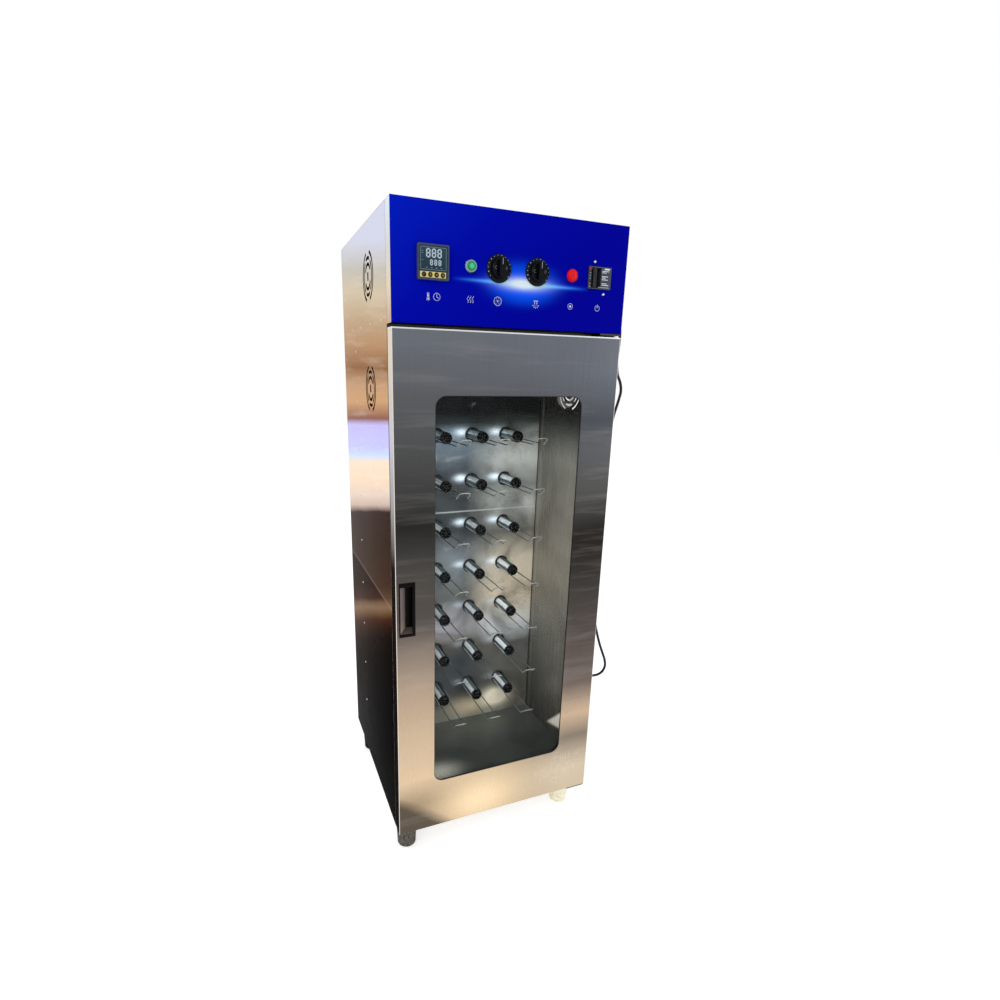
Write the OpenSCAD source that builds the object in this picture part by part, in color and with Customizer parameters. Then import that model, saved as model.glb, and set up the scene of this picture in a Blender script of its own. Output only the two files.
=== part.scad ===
// Warm-air and UV cabinet for drying and sterilizing shoes.
// Cabinet coordinates: x from the left side, y back from the front of the door, z up from the
// bottom edge of the body. The model's origin is the middle of the footprint, on the floor.

/* [Cabinet] */
// Width of the cabinet
body_w = 600; // [580:5:700]
// Depth from the front of the door to the outside of the back panel
body_d = 600; // [570:5:700]
// Height of the body without its feet
body_h = 1605; // [1585:5:1750]
// Thickness of the stainless sheet
sheet = 1.2; // [0.8:0.1:1.6]
// Width of the folded edges of the sheets
fold_w = 18; // [12:1:22]
// Depth of the door and the header in front of the body
front_t = 40; // [36:1:46]
// Height of the control header
header_h = 250; // [230:5:290]
// Height of the electrical bay above the chamber ceiling
bay_h = 248; // [230:1:290]
// Width of the frame face beside the door opening
frame_w = 35; // [32:1:45]
// Height of the chamber floor above the bottom edge
floor_z = 44; // [42:1:60]
// Depth of the air duct behind the nozzle wall
duct_d = 195; // [180:1:210]

/* [Feet] */
// Height of a foot
foot_h = 102; // [80:1:120]
// Diameter of a foot at its top
foot_d = 58; // [46:1:62]
// Diameter of the face that a foot stands on
foot_face_d = 42; // [30:1:44]
// Distance of a foot's centre from the side
foot_side = 42; // [38:1:60]
// Distance of a foot's centre from the front or back of the body
foot_in = 40; // [31:1:60]

/* [Door] */
// Gap between the door's top edge and the header
door_gap = 8.5; // [8:0.5:12]
// Height of the door's bottom edge above the bottom of the body
door_lift = 3; // [2.5:0.5:6]
// Depth of the door's steel case
door_t = 36; // [33:0.5:36]
// Width of the window opening
window_w = 397; // [340:1:420]
// Height of the door above the window opening
window_top = 146.5; // [130:0.5:170]
// Height of the window's lower edge above the bottom of the body
window_z = 148; // [130:1:170]
// Corner radius of the window opening
window_r = 28; // [15:1:45]
// Thickness of the window glass
glass_t = 5; // [4:0.5:6]
// How far the glass reaches behind the edge of the opening
glass_lap = 14; // [13:0.5:18]
// Thickness of the rubber gasket in front of the glass
gasket_t = 1.5; // [1:0.1:2.5]
// Margin of the inner liner around the window opening
reveal = 26; // [25:1:32]
// Width of the door seal
seal_w = 12; // [9:0.5:14]

/* [Handle] */
// Width of the recessed handle
cup_w = 42; // [36:1:46]
// Height of the recessed handle
cup_h = 145; // [110:1:170]
// Depth of the recess
cup_deep = 22; // [16:1:25]
// Distance of the handle from the door's left edge
cup_x = 8; // [6:1:12]
// Height of the handle's lower end above the bottom of the body
cup_z = 603; // [500:1:700]

/* [Hinges] */
// Diameter of a hinge pin
pin_d = 8; // [6:0.5:9]
// Length of a hinge pin inside the door
pin_l = 14; // [10:1:20]
// Distance of the hinge axis from the door's right edge
hinge_in = 12; // [11:0.5:13]
// Distance of the hinge axis behind the door's front face
hinge_y = 17; // [16.5:0.5:19]

/* [Shoe hangers] */
// Rows of hangers
rows = 7; // [4:1:7]
// Hangers in one row
cols = 4; // [2:1:4]
// Height of the lowest row above the bottom of the body
row_base = 188; // [160:1:200]
// Distance between two rows
row_pitch = 146.3; // [130:0.1:150]
// Distance between two hangers in a row
col_pitch = 118; // [95:1:125]
// Outer diameter of an air nozzle
nozzle_d = 36; // [28:0.5:42]
// Length of an air nozzle in front of its wall, with its cap
nozzle_l = 94; // [70:1:120]
// Wall of an air nozzle
nozzle_wall_t = 1.2; // [0.8:0.1:1.6]
// Length of the black cap in front of the tube
cap_l = 9; // [6:0.5:12]
// Diameter of an air hole in the cap
cap_hole_d = 7; // [4:0.5:8]
// Diameter of the rack wire
wire_d = 3.2; // [2.5:0.1:4]
// Reach of the rack's straight legs in front of the wall
rack_l = 226; // [190:1:240]
// Length of the rack's raised tip
tip_l = 30; // [24:1:40]
// Angle of the raised tip
tip_angle = 40; // [20:1:50]

/* [Controls] */
// Height of the controls above the bottom of the header
control_up = 127; // [110:1:140]
// Width and height of the temperature controller
controller_w = 72; // [66:1:76]
// Distance of the temperature controller's middle from the left side
controller_x = 94; // [80:1:100]
// How far the controller stands out
controller_out = 8; // [6:0.5:10]
// Depth of the controller behind the header
controller_deep = 78; // [60:1:90]
// Diameter of the push button's bezel and of the pilot lamp
button_d = 29; // [26:0.5:31]
// Distance of the push button left of the header's middle
button_left = 116; // [110:1:122]
// Travel of the push button
button_travel = 3; // [2:0.5:4]
// Diameter of a timer knob
knob_d = 61; // [50:1:66]
// How far a timer knob stands out
knob_out = 24; // [20:1:30]
// Distance of the fan timer left of the header's middle
timer_1_left = 48; // [44:1:52]
// Distance of the lamp timer right of the header's middle
timer_2_right = 51; // [45:1:60]
// Diameter of a timer spindle
spindle_d = 6; // [5:0.5:7]
// Distance of the pilot lamp from the right side
pilot_in = 154.5; // [150:0.5:170]
// Distance of the circuit breaker's middle from the right side
breaker_in = 77.5; // [76:0.5:85]
// Width of the circuit breaker's window
breaker_w = 65; // [60:0.5:68]
// Height of the circuit breaker's window
breaker_h = 51; // [44:0.5:52]

/* [Air and lamp] */
// Diameter of a side vent
vent_d = 118; // [90:1:130]
// Width of a vent slot
slot_w = 4.8; // [3:0.1:5.4]
// Distance of the side vents behind the door's front face
vent_y = 228; // [200:1:260]
// Distance of the upper side vents below the cabinet's top
vent_upper = 126; // [115:1:145]
// Distance of the lower side vents below the cabinet's top
vent_lower = 396; // [375:1:415]
// Width of the square fan frame
fan_w = 220; // [180:1:240]
// Depth of the fan frame
fan_deep = 60; // [45:1:70]
// Height of the fan's axis
fan_z = 300; // [240:1:340]
// Diameter of the fan's stub shaft
fan_shaft_d = 8; // [6:0.5:10]
// Blades of the fan
blades = 7; // [5:1:9]
// Diameter of the lamp's glass tube
lamp_d = 17; // [14:0.5:19]
// Distance between the lamp's two legs
lamp_gap = 39; // [34:1:44]
// Length of the lamp's glass
lamp_l = 149; // [120:1:170]
// Distance of the lamp from the right side
lamp_in = 64; // [50:1:80]
// Place of the lamp behind the door's front face
lamp_y = 140; // [110:1:170]

/* [Mains cord] */
// Diameter of the cord
cord_d = 7.6; // [7:0.1:7.8]
// Loops in one layer of the coil
coil_loops = 2; // [1:1:2]
// Middle radius of the coil's outermost loop
coil_r = 53; // [50:1:56]
// Distance between two loops of the coil, middle to middle
coil_pitch = 8.6; // [8.4:0.1:9.2]
// Thickness of the coil's tie
tie_t = 1; // [0.6:0.1:1.2]

/* [Hidden] */
$fn = 48;
cut = 1;                 // how far a cutting tool passes through a face
slip = 0.3;              // gap between pieces that only meet
run = 0.05;              // radial running clearance
film_t = 0.5;            // printed film on the header
head_t = 2;              // height of a screw head
bracket_t = 4;           // thickness of a hinge bracket
bracket_l = 60;          // length of a hinge bracket
lip = 15;                // depth of the folded lip around the door opening
open_r = 8;              // corner radius of the door opening
tray = 20;               // height of a folded tray edge
wire_fn = 20;
leg_h = 8;               // height of the bracket's leg against the frame
leg_w = 35;              // width of that leg
seal_off = 11;           // seal's middle above and below the door opening
flange_t = 1.5;          // flange of a hinge bush
leg_angle = 24;          // how far the rack's legs lie below the middle of the nozzle
weld = 0.4;              // how deep a wire is welded into the nozzle
grommet_lip = 3;         // thickness of the grommet in front of the wall
tube_behind = 8;         // how far a nozzle reaches behind its wall
cap_plug = 10;           // how far a cap reaches into its nozzle
probe_x = 120;
probe_y = 300;
rail_y = 300;            // middle of the mounting rail
rail_w = 35;             // standard rail, with its height and sheet
rail_h = 7.5;
rail_t = 1;
contactor_size = [45, 76, 52];
pole_w = 12;             // one pole of the terminal block
terminal_size = [120, 48, 34];
timer_w = 48;            // clockwork movement of a timer
timer_deep = 34;
heater_d = 9;            // tube of the air heater
heater_pitch = 36;
heater_half = 130;
heater_reach = 96;
holder_h = 45;           // height of the lamp holder
hub_d = 88;              // hub of the fan
bush_d = 11;             // threaded bush of a timer
button_hole_d = 22.6;    // panel hole of the button and the pilot lamp
key_d = 9;               // diameter of a controller key
key_travel = 0.8;
face_in = 1.5;           // how far the controller's film lies behind its bezel
toggle_x = -10;          // pin of the breaker's toggle from the middle of its window
toggle_y = 7;            // and behind the header's face
toggle_r = 7;
toggle_h = 44;
toggle_slot = 26;
toggle_throw = 70;
stud_d = 12;             // stud of a foot
gland_d = 16;            // thread of the cable gland
gland_out = 20;          // how far the gland stands out
gland_y = 89;
gland_up = 45;           // gland's middle above the chamber ceiling
coil_from_gland = [50, 432];  // middle of the coil from the gland's mouth
way_h = 1504;            // height of the gland for which the cord's way is given
// Way of the cord: x and y from the gland's mouth, and height above the floor
way = [
    [0, 0, 1504], [10, 0, 1503.5], [25, 0, 1498], [36, 0, 1487], [41, 0, 1471], [41, 0, 1439],
    [39, 0, 1394], [44, 0, 1360], [55, 0, 1338], [60, 0, 1316], [56, 0, 1292], [38, 0, 1226],
    [25, 0, 1134], [20, 2, 984], [20, 2, 814], [24, 1, 704], [38, 0, 612], [58, 0, 544],
    [77, 0, 497], [86.5, 0.5, 474], [91, 2, 451], [86, 5, 432], [73, 9, 420], [53, 14, 416],
    [33, 22, 415], [18, 31, 407], [7, 39, 391], [3, 46, 364], [2, 60, 285], [3, 76, 165],
    [4, 84, 95], [4, 88, 46], [5, 91, 30], [6, 99.5, 17], [7, 112.5, 8.3]];
// Its way along the floor, to the start of the coil
floor_way = [[8, 130], [11, 185], [8, 255], [-1, 345]];

carcass_y = front_t + sheet;              // back of the front frame
back_y = body_d - sheet;                  // front of the back panel
inner_y = carcass_y + sheet;              // behind the side panels' front folds
inner_back = back_y - sheet;              // in front of their rear folds
inner_w = body_w - 2*sheet;
lid_z = body_h - sheet;                   // underside of the top panel
header_z = body_h - header_h;             // bottom of the header
ceiling_z = body_h - bay_h;               // underside of the chamber ceiling
door_h = header_z - door_gap - door_lift;
window_h = header_z - door_gap - window_top - window_z;
nozzle_y = body_d - duct_d;               // front of the nozzle wall
open_w = body_w - 2*frame_w;
open_z = floor_z + sheet;
open_top = header_z - 30;
control_z = header_z + control_up;
panel_back = film_t + sheet;              // back of the header's front sheet
hinge_x = body_w - hinge_in;
window_x = (body_w - window_w)/2;
glass_y = sheet + gasket_t;
gland_z = ceiling_z + gland_up;
coil_z = tie_t + slip + cord_d/2;         // middle of the coil's lower layer
bushing_d = pin_d + 6;
wall_hole_d = nozzle_d + 5;
button_x = body_w/2 - button_left;
timer_1_x = body_w/2 - timer_1_left;
timer_2_x = body_w/2 + timer_2_right;
timer_xs = [timer_1_x, timer_2_x];
pilot_x = body_w - pilot_in;
breaker_x = body_w - breaker_in;
lamp_x = body_w - lamp_in;
key_pitch = controller_w*0.2;
key_z = -controller_w*0.36;
bay_floor = ceiling_z + sheet;
row_shift = [-body_w/2, knob_out - (knob_out + body_d + head_t)/2, foot_h];
gland_end = row_shift + [body_w + gland_out, gland_y, gland_z];
coil_at = [gland_end[0] + coil_from_gland[0], gland_end[1] + coil_from_gland[1]];
route = concat([for (p = way) [gland_end[0] + p[0], gland_end[1] + p[1], gland_end[2]*p[2]/way_h]],
    [for (p = floor_way) [gland_end[0] + p[0], gland_end[1] + p[1], coil_z]],
    [[coil_at[0] - coil_r, coil_at[1] - cord_d, coil_z]]);

// Puts children that are drawn in cabinet coordinates into the model's frame
module placed() { translate(row_shift) children(); }

// A plate in the x-z plane, drawn in 2D as x and z, from y to y + t
module upright(y, t) { translate([0, y + t, 0]) rotate([90, 0, 0]) linear_extrude(t) children(); }

// A plate in the y-z plane, drawn in 2D as y and z, from x to x + t
module sideways(x, t) { translate([x, 0, 0]) rotate([90, 0, 90]) linear_extrude(t) children(); }

// Rectangle with round corners and its lower left corner at [x, y]
module rounded(x, y, w, h, r) {
    translate([x, y]) {
        translate([r, 0]) square([w - 2*r, h]);
        translate([0, r]) square([w, h - 2*r]);
        for (i = [r, w - r], j = [r, h - r]) translate([i, j]) circle(r);
    }
}

// Open box of folded sheet: outer corner p, outer size s, open towards +z
module pan(p, s) {
    translate(p) difference() {
        cube(s);
        translate([sheet, sheet, sheet]) cube([s[0] - 2*sheet, s[1] - 2*sheet, s[2]]);
    }
}

// Side panels, vents and body sheets

// Slot on a circle of radius r, of half angle a about the direction mid
module arc_slot(r, w, a, mid) {
    difference() {
        intersection() {
            circle(r + w/2);
            polygon(concat([[0, 0]], [for (t = [-1:0.5:1]) 2*r*[cos(mid + a*t), sin(mid + a*t)]]));
        }
        circle(r - w/2);
    }
}

// Round louvre of broken rings, of outer diameter d
module vent(d) {
    outer = d/2 - slot_w/2;
    step = (outer - 0.12*d)/3;
    for (mid = [0, 180]) {
        arc_slot(outer, slot_w, 70, mid);
        arc_slot(outer - step, slot_w, 50, mid);
    }
    for (mid = [90, 270]) {
        arc_slot(outer - step, slot_w*1.3, 24, mid);
        arc_slot(outer - 2*step, slot_w, 62, mid);
    }
    translate([-slot_w, -0.07*d]) square([2*slot_w, 0.14*d]);
}

// Rectangle of width w and depth l whose two corners at x = 0 are bent round
module bent(w, l) {
    translate([sheet, 0]) square([w - sheet, l]);
    translate([0, sheet]) square([w, l - 2*sheet]);
    for (y = [sheet, l - sheet]) translate([sheet, y]) circle(sheet);
}

// Left panel with its folded front and rear edges
module side_sheet() {
    difference() {
        translate([0, carcass_y, 0]) linear_extrude(lid_z) difference() {
            bent(fold_w, back_y - carcass_y);
            translate([sheet, sheet]) square([fold_w, back_y - carcass_y - 2*sheet]);
        }
        for (down = [vent_upper, vent_lower]) sideways(-cut, sheet + 2*cut)
            translate([vent_y, body_h - down]) vent(vent_d);
    }
}

module left_side_panel() { color("silver") placed() side_sheet(); }

module right_side_panel() {
    color("silver") placed() difference() {
        translate([body_w, 0, 0]) mirror([1, 0, 0]) side_sheet();
        translate([body_w - sheet - cut, gland_y, gland_z]) rotate([0, 90, 0])
            cylinder(d = gland_d + 2*slip, h = sheet + 2*cut);
    }
}

module top_panel() {
    color("silver") placed() {
        translate([0, front_t, lid_z]) cube([body_w, body_d - front_t, sheet]);
        difference() {
            translate([sheet, inner_y, lid_z - lip]) cube([inner_w, inner_back - inner_y, lip]);
            translate([2*sheet, inner_y + sheet, lid_z - lip - cut])
                cube([inner_w - 2*sheet, inner_back - inner_y - 2*sheet, lip + 2*cut]);
        }
    }
}

module back_panel() {
    color("gainsboro") placed() upright(back_y, sheet) difference() {
        square([body_w, lid_z]);
        translate([body_w/2, fan_z]) vent(fan_w - 40);
        translate([body_w/2, ceiling_z + bay_h/2]) vent(vent_d);
    }
}

module base_pan() {
    color("silver") placed() difference() {
        pan([sheet, inner_y, 0], [inner_w, inner_back - inner_y, tray]);
        at_feet() translate([0, 0, -cut]) cylinder(d = stud_d + 2*slip, h = sheet + 2*cut);
    }
}

// Frame around the door opening and the bay behind the header
module front_frame() {
    bay_z = ceiling_z + tray + 5;
    bay_open = lid_z - lip - 5 - bay_z;
    color("silver") placed() {
        upright(front_t, sheet) difference() {
            square([body_w, lid_z]);
            rounded(frame_w, open_z, open_w, open_top - open_z, open_r);
            rounded(frame_w, bay_z, open_w, bay_open, open_r);
        }
        upright(front_t, lip) difference() {
            rounded(frame_w - sheet, open_z - sheet, open_w + 2*sheet,
                open_top - open_z + 2*sheet, open_r + sheet);
            rounded(frame_w, open_z, open_w, open_top - open_z, open_r);
        }
    }
}

module chamber_floor() {
    color("darkgray") placed() translate([0, 0, floor_z]) mirror([0, 0, 1])
        pan([sheet, inner_y, 0], [inner_w, nozzle_y + fold_w - inner_y, tray]);
}

module chamber_ceiling() {
    color("darkgray") placed() difference() {
        pan([sheet, inner_y, ceiling_z], [inner_w, inner_back - inner_y, tray]);
        translate([lamp_x, lamp_y, ceiling_z - cut]) cylinder(d = 22, h = sheet + 2*cut);
        translate([probe_x, probe_y, ceiling_z - cut]) cylinder(d = 8.6, h = sheet + 2*cut);
    }
}

// Wall that carries the air nozzles, folded back at its edges
module nozzle_wall() {
    color("darkgray") placed() difference() {
        translate([sheet, nozzle_y, floor_z]) difference() {
            cube([inner_w, fold_w, ceiling_z - floor_z]);
            translate([sheet, sheet, sheet])
                cube([inner_w - 2*sheet, fold_w, ceiling_z - floor_z - 2*sheet]);
        }
        at_nozzles() translate([0, sheet + cut, 0]) rotate([90, 0, 0])
            cylinder(d = wall_hole_d, h = sheet + 2*cut);
    }
}

// Header

module header_openings() {
    translate([controller_x - controller_w/2 + 2, control_z - controller_w/2 + 2])
        square(controller_w - 4);
    translate([button_x, control_z]) circle(d = button_hole_d);
    translate([pilot_x, control_z]) circle(d = button_hole_d);
    for (x = timer_xs) translate([x, control_z]) circle(d = bush_d + 2*slip);
    translate([breaker_x - breaker_w/2, control_z - breaker_h/2]) square([breaker_w, breaker_h]);
}

module header_box() {
    color("silver") placed() {
        upright(film_t, sheet) difference() {
            translate([0, header_z]) square([body_w, header_h]);
            header_openings();
        }
        upright(film_t, front_t - film_t) difference() {
            translate([0, header_z]) square([body_w, header_h]);
            translate([sheet, header_z + sheet]) square([inner_w, header_h - 2*sheet]);
        }
    }
}

module header_overlay() {
    color("mediumblue") placed() upright(0, film_t) difference() {
        translate([0, header_z]) square([body_w, header_h]);
        header_openings();
    }
}

// Door

module window(grow) {
    rounded(window_x - grow, window_z - grow, window_w + 2*grow, window_h + 2*grow, window_r + grow);
}

module door_shell() {
    color("silver") placed() difference() {
        translate([0, 0, door_lift]) linear_extrude(door_h) rotate(90) mirror([0, 1]) bent(door_t, body_w);
        translate([sheet, sheet, door_lift + sheet]) cube([inner_w, door_t, door_h - 2*sheet]);
        upright(-cut, sheet + 2*cut) {
            window(0);
            translate([cup_x + 2, cup_z + 2]) square([cup_w - 4, cup_h - 4]);
        }
        translate([hinge_x, hinge_y, door_lift - cut]) cylinder(d = bushing_d + 2*run, h = door_h + 2*cut);
    }
}

module door_liner() {
    color("darkgray") placed() {
        upright(door_t - sheet, sheet) difference() {
            translate([sheet, door_lift + sheet]) square([inner_w, door_h - 2*sheet]);
            window(reveal);
        }
        upright(glass_y + glass_t + 5, door_t - glass_y - glass_t - 5) difference() {
            window(reveal + sheet);
            window(reveal);
        }
    }
}

module door_glass() { color([0.75, 0.85, 0.85, 0.35]) placed() upright(glass_y, glass_t) window(glass_lap); }

module glass_gasket() {
    color("#202020") placed() upright(sheet, gasket_t) difference() {
        window(glass_lap);
        window(-1.5);
    }
}

// One clip that holds the glass against its gasket; it stands outside the glass edge, at x = 0,
// and its finger reaches over the glass towards +x
module glass_clip() {
    wide = 24;
    foot = 8;
    finger = 9;
    back = glass_y + glass_t + slip - sheet;
    translate([-foot - slip, sheet, -wide/2]) {
        cube([foot, sheet, wide]);
        translate([foot - sheet, 0, 0]) cube([sheet, back + sheet, wide]);
        translate([foot - sheet, back, 0]) cube([finger + sheet, sheet, wide]);
    }
}

module glass_clips() {
    left = window_x - glass_lap;
    color("silver") placed() {
        for (k = [1:4]) {
            z = window_z + window_h*(k - 0.5)/4;
            translate([left, 0, z]) glass_clip();
            translate([body_w - left, 0, z]) mirror([1, 0, 0]) glass_clip();
        }
        for (k = [1:2]) {
            x = window_x + window_w*(k - 0.5)/2;
            translate([x, 0, window_z - glass_lap]) rotate([0, -90, 0]) glass_clip();
            translate([x, 0, window_z + window_h + glass_lap]) rotate([0, 90, 0]) glass_clip();
        }
    }
}

// Rubber seal between the door's back and the frame
module door_seal() {
    side = (frame_w - seal_w)/2 + 1;
    low = open_z - seal_off - seal_w/2;
    tall = open_top + seal_off + seal_w/2 - low;
    color("dimgray") placed() upright(door_t, front_t - door_t - slip) difference() {
        rounded(side, low, body_w - 2*side, tall, 10);
        rounded(side + seal_w, low + seal_w, body_w - 2*side - 2*seal_w, tall - 2*seal_w, 3);
    }
}

// Recessed pull: a sloping left face leads the fingers to a pocket behind the right edge
module handle_cup() {
    wall = 2;
    rim = 1.2;
    ramp = cup_w*0.5;
    slope = 10;
    above = 11;              // frame above and below the recess
    below = 8;
    color("#151515") placed() translate([cup_x, 0, cup_z]) difference() {
        union() {
            translate([0, -rim, 0]) cube([cup_w, rim, cup_h]);
            translate([0, 0, 2 + slip]) linear_extrude(cup_h - 4 - 2*slip) polygon([
                [2 + slip, -rim/2], [cup_w - 2 - slip, -rim/2], [cup_w - 2 - slip, cup_deep],
                [ramp - wall, cup_deep], [2 + slip, wall + 2]]);
        }
        intersection() {
            translate([0, 0, -cut]) linear_extrude(cup_h + 2*cut) polygon([
                [wall + 1, -rim - cut], [cup_w - wall - 5, -rim - cut], [cup_w - wall - 5, 3],
                [cup_w - wall - 2, 5], [cup_w - wall - 2, cup_deep - wall],
                [ramp, cup_deep - wall], [wall + 1, 0]]);
            sideways(-cut, cup_w + 2*cut) polygon([
                [-rim - cut, below], [0, below], [cup_deep, below + slope],
                [cup_deep, cup_h - above - slope], [0, cup_h - above], [-rim - cut, cup_h - above]]);
        }
    }
}

// Hinge bracket with its pin: its plate lies at z from -bracket_t to 0, its leg stands against the
// frame, and its pin crosses the gap to the door's edge
module hinge_bracket(gap) {
    translate([body_w - bracket_l, 4, -bracket_t]) cube([bracket_l, front_t - 4, bracket_t]);
    translate([body_w - bracket_l, front_t - 3, -bracket_t]) cube([leg_w, 3, bracket_t + leg_h]);
    translate([hinge_x, hinge_y, -bracket_t]) cylinder(d = pin_d, h = bracket_t + gap + pin_l);
}

// The upper bracket hangs under the header, turned over
module hinge_brackets() {
    color("silver") placed() {
        hinge_bracket(door_lift);
        translate([0, 0, header_z - bracket_t]) mirror([0, 0, 1]) hinge_bracket(door_gap - bracket_t);
    }
}

// Flanged nylon bushes in the door's lower and upper edges
module hinge_bush() {
    difference() {
        union() {
            translate([0, 0, -flange_t]) cylinder(d = bushing_d + 5, h = flange_t);
            cylinder(d = bushing_d, h = pin_l + 2);
        }
        translate([0, 0, -flange_t - cut]) cylinder(d = pin_d + 2*run, h = pin_l + 2 + flange_t - 1 + cut);
    }
}

module hinge_bushes() {
    color("ivory") placed() {
        translate([hinge_x, hinge_y, door_lift]) hinge_bush();
        translate([hinge_x, hinge_y, door_lift + door_h]) mirror([0, 0, 1]) hinge_bush();
    }
}

// Shoe hangers

function row_z(r) = row_base + (r - 1)*row_pitch;
function col_x(c) = body_w/2 + (c - (cols + 1)/2)*col_pitch;

module at_nozzles() {
    for (r = [1:rows], c = [1:cols]) translate([col_x(c), nozzle_y, row_z(r)]) children();
}

// Solid arc of wire of radius r through the angle a
module wire_arc(r, a) {
    rotate_extrude(angle = a, $fn = 2*wire_fn) translate([r, 0]) circle(d = wire_d, $fn = wire_fn);
}

module wire_rod(l) { rotate([90, 0, 0]) cylinder(d = wire_d, h = l, $fn = wire_fn); }

// Rounded to 0.1 mm, so that the ends of neighbouring wires lie exactly on each other
function tenth(v) = round(10*v)/10;

// Bent wire rack with its legs' ends at y = 0, running towards -y; a ball fills each bend
module rack() {
    half = tenth((nozzle_d/2 + wire_d/2 - weld)*cos(leg_angle));
    corner_r = tenth(half*0.6);
    straight = tip_l - corner_r;
    for (s = [-1, 1]) translate([s*half, -rack_l, 0]) {
        translate([0, rack_l - grommet_lip - slip, 0]) wire_rod(rack_l - grommet_lip - slip);
        sphere(d = wire_d + 0.3, $fn = wire_fn);
    }
    translate([0, -rack_l, 0]) rotate([-tip_angle, 0, 0]) {
        for (s = [-1, 1]) translate([s*half, 0, 0]) wire_rod(straight);
        translate([half - corner_r, -straight, 0]) rotate([0, 0, -90]) wire_arc(corner_r, 90);
        translate([corner_r - half, -straight, 0]) rotate([0, 0, 180]) wire_arc(corner_r, 90);
        translate([corner_r - half, -straight - corner_r, 0]) rotate([0, 90, 0])
            cylinder(d = wire_d, h = 2*(half - corner_r), $fn = wire_fn);
    }
}

// Air nozzle with its welded rack
module hanger() {
    difference() {
        translate([0, tube_behind, 0]) rotate([90, 0, 0])
            cylinder(d = nozzle_d, h = tube_behind + nozzle_l - cap_l);
        translate([0, tube_behind + cut, 0]) rotate([90, 0, 0])
            cylinder(d = nozzle_d - 2*nozzle_wall_t, h = tube_behind + nozzle_l + 2*cut);
    }
    translate([0, 0, -tenth((nozzle_d/2 + wire_d/2 - weld)*sin(leg_angle))]) rack();
}

module hanger_row(r) {
    color("silver") placed() for (c = [1:cols]) translate([col_x(c), nozzle_y, row_z(r)]) hanger();
}

// Rubber ring that seats a nozzle in its wall
module nozzle_grommets() {
    inner = nozzle_d/2 + run;
    outer = wall_hole_d/2;
    color("#202020") placed() at_nozzles() rotate([90, 0, 0]) rotate_extrude() polygon([
        [inner, grommet_lip], [outer + 1.5, grommet_lip], [outer + 3, grommet_lip/2], [outer + 3, 0],
        [outer - run, 0], [outer - run, -sheet], [outer + 2, -sheet], [outer + 2, -sheet - 2.5],
        [inner, -sheet - 2.5]]);
}

// Black cap with air holes, plugged into the nozzle's end
module nozzle_caps() {
    lip_r = nozzle_d/2 - 0.7;
    plug_r = nozzle_d/2 - nozzle_wall_t - run;
    ring = plug_r*0.58;
    color("#151515") placed() at_nozzles() translate([0, -nozzle_l, 0]) rotate([-90, 0, 0]) difference() {
        rotate_extrude() polygon([
            [0, 0], [lip_r - 1.2, 0], [lip_r, 1.2], [lip_r, cap_l], [plug_r, cap_l],
            [plug_r, cap_l + cap_plug], [plug_r - 2, cap_l + cap_plug], [plug_r - 2, 2.5], [0, 2.5]]);
        for (k = [0:5]) rotate(60*k) translate([ring, 0, -cut]) cylinder(d = cap_hole_d, h = 2.5 + 2*cut);
    }
}

// Lamp, probe, fan and heater

module uv_lamp_tube() {
    top = ceiling_z - holder_h;
    leg = lamp_l - lamp_gap/2 - lamp_d/2;
    color("aliceblue") placed() translate([lamp_x, lamp_y, top]) {
        for (s = [-1, 1]) translate([s*lamp_gap/2, 0, -leg]) cylinder(d = lamp_d, h = leg);
        translate([0, 0, -leg]) rotate([-90, 0, 0])
            rotate_extrude(angle = 180) translate([lamp_gap/2, 0]) circle(d = lamp_d);
    }
}

module uv_lamp_holder() {
    color("white") placed() translate([lamp_x, lamp_y, ceiling_z - holder_h]) {
        rotate_extrude() polygon([
            [0, 0], [lamp_gap/2 + lamp_d/2 + 2, 0], [lamp_gap/2 + lamp_d/2 + 2, 14], [20, 22],
            [20, holder_h - 6], [27, holder_h - 4], [27, holder_h], [0, holder_h]]);
        translate([0, 0, holder_h]) cylinder(d = 20, h = 12);
    }
}

module temperature_probe() {
    rod = 60;
    color("silver") placed() translate([probe_x, probe_y, ceiling_z]) {
        translate([0, 0, -rod]) cylinder(d = 5, h = rod);
        translate([0, 0, -8]) cylinder(d = 15, h = 8, $fn = 6);
        cylinder(d = 8, h = 12);
    }
}

// Square frame with its duct, struts and motor
module fan_frame() {
    bore = fan_w - 14;
    color("#303030") placed() translate([body_w/2, back_y, fan_z]) rotate([90, 0, 0]) {
        difference() {
            translate([-fan_w/2, -fan_w/2, 0]) cube([fan_w, fan_w, fan_deep]);
            translate([0, 0, -cut]) cylinder(d = bore, h = fan_deep + 2*cut, $fn = 96);
            for (i = [-1, 1], j = [-1, 1]) translate([i*(fan_w/2 - 9), j*(fan_w/2 - 9), -cut])
                cylinder(d = 5, h = fan_deep + 2*cut);
            for (a = [0:90:270]) rotate(a) translate([-fan_w/2 + 20, -fan_w/2 - cut, 6])
                cube([fan_w - 40, 4 + cut, fan_deep - 12]);
        }
        cylinder(d = hub_d, h = 10);
        for (a = [45:90:315]) rotate(a) translate([hub_d/2 - 2, -4, 0])
            cube([bore/2 - hub_d/2 + 4, 8, 6]);
        cylinder(d = fan_shaft_d, h = fan_deep - 11);
    }
}

// Cambered blade section across the fan's axis, its chord pitched to the plane of rotation
module blade_section() {
    pitch = 38;
    camber_r = 50;
    translate([camber_r*sin(pitch), -camber_r*cos(pitch)]) arc_slot(camber_r, 2.2, 25, 90 + pitch);
}

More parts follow.
